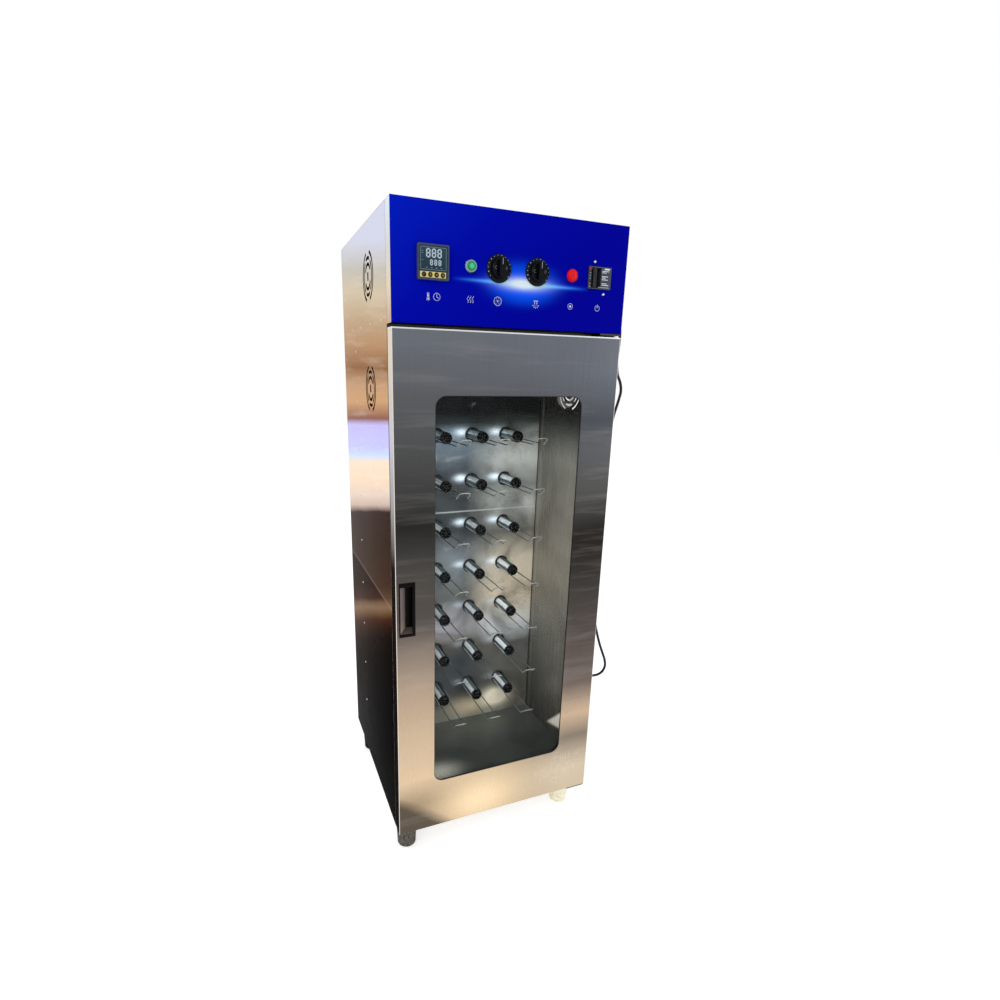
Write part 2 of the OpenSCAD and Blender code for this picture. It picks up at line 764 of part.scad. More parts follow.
// Hub and blades, drawn about the z axis with the shaft's foot at z = 0
module fan_impeller() {
    low = 14;
    high = fan_deep - 8;
    blade_r = fan_w/2 - 11;
    color("#404040") placed() translate([body_w/2, back_y, fan_z]) rotate([90, 0, 0]) {
        difference() {
            translate([0, 0, low]) cylinder(d = hub_d, h = high - low);
            translate([0, 0, low - cut]) cylinder(d = fan_shaft_d + 2*run, h = high - 2 - low + cut);
            translate([0, 0, low - cut]) difference() {
                cylinder(d = hub_d - 6, h = high - low - 4);
                cylinder(d = fan_shaft_d + 8, h = high - low);
            }
        }
        for (k = [0:blades - 1]) rotate(360*k/blades) intersection() {
            sideways(hub_d/2 - 4, blade_r) translate([0, (low + high)/2]) blade_section();
            translate([0, 0, low]) cylinder(r = blade_r, h = high - low);
        }
    }
}

// Hairpin air heater on its flange, above the fan
module heater_coil() {
    tube_d = heater_d;
    runs = 4;
    pitch = heater_pitch;
    half = heater_half;
    reach = heater_reach;
    z0 = fan_z + fan_w/2 + 40;
    color("dimgray") placed() translate([body_w/2, back_y, z0]) {
        translate([-half - pitch/2, -4, -pitch/2]) cube([pitch, 4, runs*pitch]);
        for (k = [0:runs - 1]) translate([-half, -reach, k*pitch]) rotate([0, 90, 0])
            cylinder(d = tube_d, h = 2*half);
        for (k = [0:runs - 2]) translate([k % 2 == 0 ? half : -half, -reach, (k + 0.5)*pitch])
            rotate([90, 0, 0]) rotate([0, 0, k % 2 == 0 ? -90 : 90]) rotate_extrude(angle = 180)
                translate([pitch/2, 0]) circle(d = tube_d);
        for (k = [0, runs - 1]) {
            translate([-half, -reach, k*pitch]) sphere(d = tube_d);
            translate([-half, 0, k*pitch]) rotate([90, 0, 0]) cylinder(d = tube_d, h = reach);
        }
    }
}

// Controls

module at_control(x) { translate([x, 0, control_z]) children(); }

function key_x(k) = (k - 2.5)*key_pitch;

// Case with its raised bezel; the four key holes are blind
module controller_case() {
    face = controller_w - 8;
    color("slategray") placed() at_control(controller_x) difference() {
        union() {
            upright(-controller_out, controller_out) rounded(-controller_w/2, -controller_w/2,
                controller_w, controller_w, 3);
            translate([-controller_w/2 + 2.5, 0, -controller_w/2 + 2.5])
                cube([controller_w - 5, controller_deep, controller_w - 5]);
        }
        upright(-controller_out - cut, face_in + cut) rounded(-face/2, -face/2, face, face, 2);
        for (k = [1:4]) translate([key_x(k), -controller_out + face_in + 3.5, key_z]) rotate([90, 0, 0])
            cylinder(d = key_d + 2*slip, h = 5);
        for (s = [-1, 1], t = [-3:3]) translate([s*(controller_w/2 - 2.5) - 1, 14, t*8 - 1.5])
            cube([2, controller_deep - 24, 3]);
    }
}

// Dark front film over the display and the key strip
module controller_film() {
    face = controller_w - 8 - 2*slip;
    film = 0.6;
    color("#12303a") placed() at_control(controller_x) upright(-controller_out + face_in - film, film)
        difference() {
            rounded(-face/2, -face/2, face, face, 2);
            for (k = [1:4]) translate([key_x(k), key_z]) circle(d = key_d + 2*slip);
        }
}

module controller_key(k) {
    color("#2a2a2a") placed() at_control(controller_x) translate([key_x(k), 0, key_z]) rotate([90, 0, 0])
        translate([0, 0, controller_out - face_in - 3.5 + key_travel + slip]) {
            cylinder(d = key_d, h = 3.6);
            translate([0, 0, 3.6]) cylinder(d1 = key_d, d2 = key_d - 1.6, h = 0.6);
        }
}

// Profile of a panel device: body, nut, sleeve in its hole and underside of its bezel
function behind_panel(deep) = [[0, -deep], [12, -deep], [12, -panel_back - 5],
    [15, -panel_back - 5], [15, -panel_back], [button_hole_d/2 - slip, -panel_back],
    [button_hole_d/2 - slip, 0], [button_d/2, 0]];

// Bezel, threaded sleeve and switch body of the heating button
module heat_button_body() {
    color("gainsboro") placed() at_control(button_x) rotate([90, 0, 0]) difference() {
        rotate_extrude() polygon(concat(behind_panel(44),
            [[button_d/2, 2.5], [button_d/2 - 2, 5], [0, 5]]));
        translate([0, 0, -button_travel - 3]) cylinder(d = button_d - 9, h = 20);
    }
}

module heat_button_cap() {
    color("mediumseagreen") placed() at_control(button_x) rotate([90, 0, 0])
        rotate_extrude() polygon([
            [0, -2.8], [button_d/2 - 4.8, -2.8], [button_d/2 - 4.8, 6.2], [button_d/2 - 6, 7.2],
            [0, 7.4]]);
}

// Pilot lamp: domed lens on its bezel, body and nut behind the header
module pilot_lamp() {
    color("red") placed() at_control(pilot_x) rotate([90, 0, 0]) rotate_extrude() polygon(concat(
        behind_panel(40), [[button_d/2, 3]],
        [for (a = [0:10:80]) [(button_d/2 - 1.5)*cos(a), 3 + 7*sin(a)]], [[0, 10]]));
}

// Two clockwork timer movements, each with its mounting bush
module timer_movements() {
    deep = timer_deep;
    color("ivory") placed() for (x = timer_xs) at_control(x) difference() {
        union() {
            translate([-timer_w/2, panel_back, -timer_w/2]) cube([timer_w, deep, timer_w]);
            rotate([90, 0, 0]) translate([0, 0, -panel_back - 1]) cylinder(d = bush_d, h = panel_back + 3);
        }
        rotate([90, 0, 0]) translate([0, 0, -deep + 6]) cylinder(d = spindle_d + 2*run, h = deep + 10);
    }
}

// Knob with skirt, fluted rim, grip bar and spindle, drawn about the z axis with z = 0 on the header
module timer_knob(x) {
    skirt = 6;
    grip = knob_out - skirt;
    flutes = 24;
    color("#151515") placed() at_control(x) rotate([90, 0, 0]) {
        difference() {
            union() {
                translate([0, 0, 0.8]) rotate_extrude($fn = 96) polygon([
                    [0, 0], [knob_d/2, 0], [knob_d/2, skirt*0.35], [knob_d/2 - 6, skirt],
                    [knob_d/2 - 8, skirt], [knob_d/2 - 10, skirt + grip*0.35],
                    [knob_d/2 - 11.5, skirt + grip*0.42], [0, skirt + grip*0.42]]);
                translate([0, 0, skirt]) linear_extrude(grip) intersection() {
                    rounded(-7, -knob_d/2 + 11, 14, knob_d - 22, 5);
                    circle(d = knob_d - 22);
                }
            }
            translate([0, 0, 0.8 - cut]) cylinder(d = bush_d + 3, h = 2.6 + cut);
            for (k = [0:flutes - 1]) rotate(360*k/flutes) translate([knob_d/2 - 8, 0, skirt + 1.6])
                cylinder(d = 2.2, h = grip, $fn = 16);
            translate([-0.8, knob_d/2 - 26, knob_out - 0.8]) cube([1.6, 20, 2]);
        }
        translate([0, 0, -20]) cylinder(d = spindle_d, h = 24);
    }
}

// Three-pole breaker on its side, pressed against the back of the header
module breaker_case() {
    body_x = 80;
    body_z = 3*17.8;
    raised = 3;
    color("gainsboro") placed() at_control(breaker_x) difference() {
        union() {
            translate([-body_x/2, panel_back, -body_z/2]) cube([body_x, 58, body_z]);
            translate([-breaker_w/2 + slip, -raised, -breaker_h/2 + slip])
                cube([breaker_w - 2*slip, raised + panel_back + 1, breaker_h - 2*slip]);
        }
        translate([toggle_x - toggle_slot/2, -raised - cut, -toggle_h/2 - 0.8])
            cube([toggle_slot, raised + cut + toggle_y + toggle_r + 1, toggle_h + 1.6]);
        for (s = [-1, 1]) translate([-breaker_w/2 - cut, -raised - cut, s*17.8/2 - 0.3])
            cube([breaker_w + 2*cut, 1.2 + cut, 0.6]);
    }
}

// Linked toggle bar; it swings about a vertical pin and rests to the left, switched on
module breaker_toggle() {
    reach = 21;
    color("#1a1a1a") placed() at_control(breaker_x) translate([toggle_x, toggle_y, -toggle_h/2]) {
        cylinder(r = toggle_r, h = toggle_h);
        rotate(-toggle_throw/2) linear_extrude(toggle_h) polygon([
            [-4, 0], [4, 0], [2.4, -reach + 1.5], [1.4, -reach], [-1.4, -reach], [-2.4, -reach + 1.5]]);
    }
}

// Electrical bay

module mounting_rail() {
    w = rail_w/2;
    foot = 0.77*w;
    color("silver") placed() translate([body_w/4, rail_y, bay_floor]) rotate([90, 0, 90])
        linear_extrude(body_w/2) polygon([
            [-w, rail_h], [-w, rail_h - rail_t], [-foot, rail_h - rail_t], [-foot, 0], [foot, 0],
            [foot, rail_h - rail_t], [w, rail_h - rail_t], [w, rail_h], [foot - rail_t, rail_h],
            [foot - rail_t, rail_t], [rail_t - foot, rail_t], [rail_t - foot, rail_h]]);
}

// Puts a device on the rail, its left end at a share of the cabinet's width
module on_rail(share, depth) {
    translate([share*body_w, rail_y - depth/2, bay_floor + rail_h + slip]) children();
}

module contactor() {
    w = contactor_size[0];
    d = contactor_size[1];
    h = contactor_size[2];
    color("#e8e4d8") placed() on_rail(0.31, d) difference() {
        union() {
            cube(contactor_size);
            translate([0.09*w, 0.16*d, h]) cube([0.82*w, 0.68*d, h/2]);
        }
        for (i = [0:2], y = [-cut, 0.87*d]) translate([0.11*w + i*0.29*w, y, 0.7*h])
            cube([0.2*w, 0.13*d + cut, 0.6*h]);
    }
}

module terminal_block() {
    l = terminal_size[0];
    d = terminal_size[1];
    h = terminal_size[2];
    color("#d8d8d0") placed() on_rail(0.44, d) difference() {
        cube(terminal_size);
        for (x = [pole_w/2:pole_w:l - 1], y = [d/6, 5*d/6]) translate([x, y, 0.65*h])
            cylinder(d = 0.58*pole_w, h = h);
        for (x = [pole_w:pole_w:l - pole_w]) translate([x - 0.5, -cut, 0.6*h]) cube([1, d + 2*cut, h]);
    }
}

// Feet and fasteners

module at_feet() {
    for (x = [foot_side, body_w - foot_side], y = [front_t + foot_in, body_d - foot_in])
        translate([x, y, 0]) children();
}

// Bullet foot with its stud and nut
module feet() {
    round_r = 6;
    color("silver") placed() at_feet() {
        translate([0, 0, -foot_h]) rotate_extrude() polygon(concat(
            [[0, 0]],
            [for (a = [-90:20:-10]) [foot_face_d/2 + round_r*cos(a), round_r + round_r*sin(a)]],
            [[foot_d/2, foot_h/2], [foot_d/2, foot_h], [0, foot_h]]));
        translate([0, 0, -cut]) cylinder(d = stud_d, h = 16);
        translate([0, 0, sheet]) cylinder(d = 21, h = 9, $fn = 6);
    }
}

module rivet() { cylinder(d1 = 6.5, d2 = 3.5, h = 1.3, $fn = 24); }

// Rivets that hold the ceiling and the nozzle wall to the left panel
module rivet_rows() {
    first = body_d/12;
    high = ceiling_z - first;
    for (k = [0:3]) translate([0, carcass_y + first + k*(body_d - first)/4.6, ceiling_z + tray/2])
        rotate([0, -90, 0]) rivet();
    for (k = [0:8]) translate([0, nozzle_y + fold_w/2, high - k*(high - row_base)/8])
        rotate([0, -90, 0]) rivet();
}

module side_rivets() {
    color("silver") placed() {
        rivet_rows();
        translate([body_w, 0, 0]) mirror([1, 0, 0]) rivet_rows();
    }
}

module screw() { cylinder(d1 = 7, d2 = 4.5, h = head_t, $fn = 24); }

// Screws of the back panel, the fan and the breaker
module service_screws() {
    color("silver") placed() {
        for (x = [9, body_w - 9], k = [0:7]) translate([x, body_d, 20 + k*(lid_z - 40)/7])
            rotate([-90, 0, 0]) screw();
        for (k = [1:3], z = [9, lid_z - 9]) translate([k*body_w/4, body_d, z]) rotate([-90, 0, 0]) screw();
        translate([body_w/2, body_d, fan_z]) for (i = [-1, 1], j = [-1, 1])
            translate([i*(fan_w/2 - 9), 0, j*(fan_w/2 - 9)]) rotate([-90, 0, 0]) screw();
        for (s = [-1, 1]) translate([breaker_x - s*15, 0, control_z + s*36]) rotate([90, 0, 0]) screw();
    }
}

// Mains cord

module cable_gland() {
    color("#202020") placed() translate([body_w, gland_y, gland_z]) rotate([0, 90, 0]) difference() {
        union() {
            translate([0, 0, -sheet - 12]) cylinder(d = gland_d, h = sheet + 14);
            translate([0, 0, -sheet - 6]) cylinder(d = 24, h = 6, $fn = 6);
            cylinder(d = 26, h = 6, $fn = 6);
            translate([0, 0, 6]) cylinder(d1 = 22, d2 = 13, h = gland_out - 6);
        }
        translate([0, 0, -sheet - 12 - cut]) cylinder(d = cord_d + 0.6, h = gland_out - 2 + sheet + 12 + cut);
    }
}

// Point of a smooth curve through the points p, at t from 0 to 1 along segment i
function on_curve(p, i, t) =
    let (a = p[max(i - 1, 0)], b = p[i], c = p[i + 1], d = p[min(i + 2, len(p) - 1)])
    (2*b + (c - a)*t + (2*a - 5*b + 4*c - d)*t*t + (3*b - a - 3*c + d)*t*t*t)/2;

// Points along the curve, about one step apart, with the last point at its end
function along(p, step) = concat([for (i = [0:len(p) - 2])
    let (l = norm(p[i + 1] - p[i]), n = l < 3.5*cord_d ? 1 : max(2, round(l/step)))
        for (k = [0:n - 1]) on_curve(p, i, k/n)],
    [p[len(p) - 1]]);

function unit(v) = v/norm(v);
function heading(c) = [for (i = [0:len(c) - 1])
    unit(c[min(i + 1, len(c) - 1)] - c[max(i - 1, 0)])];
function across(v, t) = unit(v - (v*t)*t);

// Closed tube of diameter d along the points c; first and last are the headings of its ends
module tube(c, d, sides, first, last) {
    n = len(c);
    mid = heading(c);
    t = [for (i = [0:n - 1]) i == 0 ? first : i == n - 1 ? last : mid[i]];
    side = [for (i = 0, v = across([0, 0.3, 1], t[0]); i < n;
        i = i + 1, v = i < n ? across(v, t[i]) : v) v];
    points = [for (i = [0:n - 1]) let (u = side[i], w = cross(t[i], u))
        for (k = [0:sides - 1]) c[i] + d/2*(cos(360*k/sides)*u + sin(360*k/sides)*w)];
    quads = [for (i = [0:n - 2], k = [0:sides - 1])
        let (a = i*sides + k, b = i*sides + (k + 1) % sides) [a, a + sides, b + sides, b]];
    walls = [for (q = quads) each [[q[0], q[1], q[2]], [q[0], q[2], q[3]]]];
    polyhedron(points, faces = concat(
        [for (k = [1:sides - 2]) [0, k, k + 1]], walls,
        [for (k = [1:sides - 2], e = (n - 1)*sides) [e, e + k + 1, e + k]]));
}

// Free stretch of the cord, from the gland's mouth to the coil
module mains_cord() {
    color("#1c1c1c") tube(along(route, 7*cord_d), cord_d, 10, [1, 0, 0], [0, 1, 0]);
}

// Coil in two layers: it winds in below, climbs in the half turn where it turns back, winds out above
coil_turns = 2*coil_loops + 0.5;
function coil_in(t) = t < coil_loops + 0.25 ? t : 2*(coil_loops + 0.25) - t;
function coil_rise(t) = let (f = min(max((t - coil_loops)/0.5, 0), 1)) f*f*(3 - 2*f);
coil_path = concat(
    [[coil_at[0] - coil_r, coil_at[1] - cord_d, coil_z]],
    [for (k = [0:24*coil_turns]) let (t = k/24, r = coil_r - coil_pitch*coil_in(t), a = 180 - 360*t)
        [coil_at[0] + r*cos(a), coil_at[1] + r*sin(a), coil_z + coil_pitch*coil_rise(t)]],
    [[coil_at[0] + coil_r, coil_at[1] - cord_d, coil_z + coil_pitch]]);
coil_gap = min([for (i = [0:len(coil_path) - 13], j = [i + 12:len(coil_path) - 1])
    norm(coil_path[i] - coil_path[j])]) - cord_d;

module cord_coil() {
    echo(coil_least_gap = coil_gap);
    color("#1c1c1c") tube(coil_path, cord_d, 6, [0, 1, 0], [0, -1, 0]);
}

// Band round the coil's strands, on the side towards the front
module coil_tie() {
    play = 0.6;
    near = coil_r - coil_pitch*(coil_loops - 0.25) - cord_d/2 - play;
    far = coil_r - coil_pitch*0.75 + cord_d/2 + play;
    top = coil_z + coil_pitch + cord_d/2 + slip;
    color("#101010") translate([coil_at[0] - 4, coil_at[1] - far, 0]) difference() {
        translate([0, -tie_t, 0]) cube([8, far - near + 2*tie_t, top + tie_t]);
        translate([-cut, 0, tie_t]) cube([8 + 2*cut, far - near, top - tie_t]);
    }
}

// Moulded plug with its strain relief and three flat pins, lying beside the coil
module mains_plug() {
    relief = 32;
    body_l = 34;
    thick = 2*(coil_z + coil_pitch - 0.5);
    color("#1c1c1c") translate([coil_at[0] + coil_r, coil_at[1] - cord_d, coil_z + coil_pitch])
        rotate([90, 0, 0]) {
            cylinder(d1 = cord_d + 1, d2 = cord_d + 8, h = relief);
            for (k = [1:4]) translate([0, 0, k*relief/5]) cylinder(d = cord_d + 4 + 1.6*k, h = 3);
            hull() {
                translate([0, 0, relief - 2]) cylinder(d = cord_d + 10, h = 2, $fn = 32);
                translate([0, 0, relief + 12]) linear_extrude(body_l - 12)
                    rounded(-19, -thick/2, 38, thick, 6);
            }
            translate([0, 0, relief + body_l - 1]) {
                translate([-0.8, -10, 0]) cube([1.6, 6.4, 21]);
                for (s = [-1, 1]) translate([s*8, 4, 0]) rotate(s*30) translate([-0.8, -3.2, 0])
                    cube([1.6, 6.4, 18]);
            }
        }
}

left_side_panel();
right_side_panel();
top_panel();
back_panel();
base_pan();
front_frame();
chamber_floor();
chamber_ceiling();
nozzle_wall();
header_box();
header_overlay();
door_shell();
door_liner();
door_glass();
glass_gasket();
glass_clips();
door_seal();
handle_cup();
hinge_brackets();
hinge_bushes();
nozzle_grommets();
nozzle_caps();
uv_lamp_tube();
uv_lamp_holder();
temperature_probe();
fan_frame();
fan_impeller();
heater_coil();
controller_case();
controller_film();
for (k = [1:4]) controller_key(k);
heat_button_body();
heat_button_cap();
pilot_lamp();
timer_movements();
timer_knob(timer_1_x);  // timer_knob_1
timer_knob(timer_2_x);  // timer_knob_2
breaker_case();
breaker_toggle();
mounting_rail();
contactor();
terminal_block();
feet();
side_rivets();
service_screws();
cable_gland();
mains_cord();
cord_coil();
coil_tie();
mains_plug();
for (r = [1:rows]) hanger_row(r);
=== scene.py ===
"""Shoe sterilizer cabinet: the looks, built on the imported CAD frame."""
import math

import bpy
from mathutils import Matrix, Vector


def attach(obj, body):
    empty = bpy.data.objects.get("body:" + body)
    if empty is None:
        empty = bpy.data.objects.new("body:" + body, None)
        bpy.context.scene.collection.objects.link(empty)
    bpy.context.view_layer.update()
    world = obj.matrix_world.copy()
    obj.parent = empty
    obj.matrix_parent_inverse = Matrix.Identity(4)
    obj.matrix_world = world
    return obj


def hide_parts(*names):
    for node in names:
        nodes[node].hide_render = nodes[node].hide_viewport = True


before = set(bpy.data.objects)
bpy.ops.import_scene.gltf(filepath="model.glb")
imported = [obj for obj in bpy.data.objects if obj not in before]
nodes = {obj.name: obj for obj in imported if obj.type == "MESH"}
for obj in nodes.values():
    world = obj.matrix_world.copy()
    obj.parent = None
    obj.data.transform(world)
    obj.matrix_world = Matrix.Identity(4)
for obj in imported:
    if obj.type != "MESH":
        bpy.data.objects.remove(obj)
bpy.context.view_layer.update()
scene = bpy.context.scene

# Materials measure in metres from the middle of the body, and up from its bottom edge.
FOOT = 0.102                             # the bottom edge's height above the floor
BODY_HALF, BODY_TOP = 0.3, 1.605
HEADER_LOW, DOOR_TOP, CHAMBER_TOP = 1.35, 1.345, 1.3
VENT_Y, VENT_HEIGHTS = -0.061, (1.479, 1.209)
NOZZLE_X, NOZZLE_PITCH = -0.177, 0.118   # the first nozzle of a row, and the step to the next
ROW_Z, ROW_PITCH = 0.188, 0.1463         # the lowest row, and the step to the next

# Printed marks measure in millimetres: x from the left side, y back from the door's front,
# z up from the body's bottom edge.
SHIFT = (-300, -289, 102)                # from there to the CAD frame
CONTROL_Z, ICON_Z = 1482, 1413
CONTROLLER_X, BUTTON_X, TIMERS_X, PILOT_X, BREAKER_X = 94, 184, (252, 351), 445.5, 522.5


def cab(x, y, z):
    """A point given in the cabinet's millimetres, in metres."""
    return Vector((x + SHIFT[0], y + SHIFT[1], z + SHIFT[2])) / 1000


def rgb(r, g, b):
    """An sRGB colour, 0 to 255, as the linear colour that nodes take."""
    linear = [((c / 255 + 0.055) / 1.055) ** 2.4 if c > 10 else c / 3295 for c in (r, g, b)]
    return (*linear, 1)


# Camera

def make_camera():
    """The photograph's viewpoint, solved from the cabinet's straight edges."""
    forward = Vector((0.35876758, 0.89703518, -0.25809632))
    right = Vector((0.93011214, -0.36683771, 0.01793033))
    up = Vector((0.07859532, 0.24649134, 0.96595279))
    data = bpy.data.cameras.new("camera")
    data.sensor_width, data.lens = 36, 20.26
    data.shift_x, data.shift_y = 0.0323, 0.0270
    data.clip_end = 60
    camera = bpy.data.objects.new("camera", data)
    scene.collection.objects.link(camera)
    turn = Matrix((right, up, -forward)).transposed().to_4x4()
    camera.matrix_world = Matrix.Translation((-0.6193, -1.5573, 1.2437 + FOOT)) @ turn
    scene.camera = camera


make_camera()

# Materials

WHITE = (1, 1, 1, 1)


class Look:
    """A procedural material under construction."""

    def __init__(self, name, color, rough=0.4, metal=0.0, **sockets):
        self.material = bpy.data.materials.new(name)
        self.material.use_nodes = True
        self.tree = self.material.node_tree
        self.shader = self.tree.nodes["Principled BSDF"]
        self.normal = None
        self.set("Base Color", color)
        self.set("Roughness", rough)
        self.set("Metallic", metal)
        for key, value in sockets.items():
            self.set(key.replace("_", " "), value)

    def set(self, socket, value):
        self.put(self.shader.inputs[socket], value)

    def put(self, socket, value):
        if isinstance(value, bpy.types.NodeSocket):
            self.tree.links.new(value, socket)
        else:
            socket.default_value = value

    def node(self, kind, **inputs):
        """A node whose inputs go by their names, or as i0, i1 by their numbers."""
        n = self.tree.nodes.new("ShaderNode" + kind)
        for key, value in inputs.items():
            by_number = key[0] == "i" and key[1:].isdigit()
            self.put(n.inputs[int(key[1:]) if by_number else key], value)
        return n

    def place(self, stretch=(1, 1, 1), shift=(0, 0, 0)):
        point = self.node("TexCoord").outputs["Object"]
        return self.node("Mapping", Vector=point, Scale=stretch, Location=shift).outputs[0]

    def axis(self, name):
        """A coordinate in metres, where Z is the height above the body's bottom edge."""
        point = self.node("TexCoord").outputs["Object"]
        value = self.node("SeparateXYZ", Vector=point).outputs[name]
        return self.minus(value, FOOT) if name == "Z" else value

    def facing(self, name):
        """One coordinate of the surface's own normal, which turns with the piece."""
        normal = self.node("TexCoord").outputs["Normal"]
        return self.node("SeparateXYZ", Vector=normal).outputs[name]

    def noise(self, scale, stretch=(1, 1, 1), detail=4.0, rough=0.55, warp=0.0, shift=(0, 0, 0)):
        return self.node("TexNoise", Vector=self.place(stretch, shift), Scale=scale, Detail=detail,
                         Roughness=rough, Distortion=warp).outputs["Fac"]

    def ramp(self, value, stops):
        """Each stop is a place from 0 to 1 and a colour or grey level."""
        n = self.node("ValToRGB", Fac=value)
        marks = n.color_ramp.elements
        while len(marks) < len(stops):
            marks.new(0.5)
        for mark, (at, color) in zip(marks, stops):
            mark.position = at
            mark.color = color if isinstance(color, tuple) else (color, color, color, 1)
        return n.outputs[0]

    def math(self, kind, a, b=0.0, clamp=False):
        n = self.node("Math", i0=a, i1=b)
        n.operation, n.use_clamp = kind, clamp
        return n.outputs[0]

    def plus(self, a, b):
        return self.math("ADD", a, b)

    def minus(self, a, b, clamp=False):
        return self.math("SUBTRACT", a, b, clamp)

    def times(self, a, b, clamp=False):
        return self.math("MULTIPLY", a, b, clamp)

    def over(self, a, b):
        return self.math("DIVIDE", a, b)

    def size(self, a):
        return self.math("ABSOLUTE", a)

    def above(self, a, b):
        return self.math("GREATER_THAN", a, b)

    def below(self, a, b):
        return self.math("LESS_THAN", a, b)

    def span(self, value, low, high, to_low=0.0, to_high=1.0):
        n = self.node("MapRange", Value=value)
        for key, v in (("From Min", low), ("From Max", high), ("To Min", to_low),
                       ("To Max", to_high)):
            self.put(n.inputs[key], v)
        return n.outputs[0]

    def mix(self, share, a, b, blend="MIX"):
        n = self.tree.nodes.new("ShaderNodeMix")
        n.data_type, n.blend_type = "RGBA", blend
        for number, value in ((0, share), (6, a), (7, b)):
            self.put(n.inputs[number], value)
        return n.outputs[2]

    def bump(self, height, strength=0.2, depth=0.0004):
        """Bumps on top of those that the look has already."""
        n = self.node("Bump", Height=height, Strength=strength, Distance=depth)
        if self.normal:
            self.tree.links.new(self.normal, n.inputs["Normal"])
        self.normal = n.outputs[0]
        self.set("Normal", self.normal)


def paint(look, *names):
    for name in names:
        slots = nodes[name].data.materials
        slots.clear()
        slots.append(look.material)


def brushed(name, color, grain=(900, 900, 12), rough=0.28, depth=0.00004, metal=1.0,
            streak=0.08, **sockets):
    """Brushed sheet steel, in a colour or a function that makes one for the look.

    The grain runs along the axis where its scale is low.
    """
    look = Look(name, (0.6, 0.6, 0.6, 1), rough, metal, **sockets)
    fine = look.noise(1.0, grain, 3, 0.6)
    cloud = look.noise(3.2, (1, 1, 1), 5, 0.6, 0.6)
    base = color(look) if callable(color) else color
    base = look.mix(1.0, base, look.ramp(fine, [(0.3, 1.0 - streak), (0.7, 1.0)]), "MULTIPLY")
    look.set("Base Color", base)
    # at a low angle the sheet keeps its own colour instead of turning white
    edge, face = look.mix(0.96, WHITE, base), look.mix(0.53, WHITE, base)
    look.set("Specular Tint", look.mix(1.0, edge, face, "DIVIDE"))
    uneven = look.span(look.plus(fine, cloud), 0.7, 1.3, rough - 0.06, rough + 0.08)
    look.set("Roughness", uneven)
    look.bump(fine, 0.12, depth)
    return look


def level(look, drift, stretch, amount):
    """Height, wandering a little as the bands of a reflection do."""
    wander = look.minus(look.noise(drift, stretch, 4, 0.55, 0.6), 0.5)
    return look.plus(look.axis("Z"), look.times(wander, amount))


def bands(look, height, low, high, stops):
    """Colour bands: each stop is a height in metres and an sRGB colour."""
    return look.ramp(look.span(height, low, high),
                     [((z - low) / (high - low), rgb(*color)) for z, color in stops])


def fade(look, square):
    """1 where the squared distance is 0, falling off softly."""
    return look.math("POWER", 2.718, look.times(square, -1.0))


def bell(look, distance):
    return fade(look, look.times(distance, distance))


def line_at(look, value, at, width):
    """1 where the value is at the place, falling off over the width."""
    return bell(look, look.over(look.minus(value, at), width))


def spot(look, x, z, rx, rz, power=1.0):
    """A soft round patch on a face seen from the front, 1 in its middle."""
    across, up = line_at(look, look.axis("X"), x, rx), line_at(look, look.axis("Z"), z, rz)
    return look.times(look.times(across, up), power)


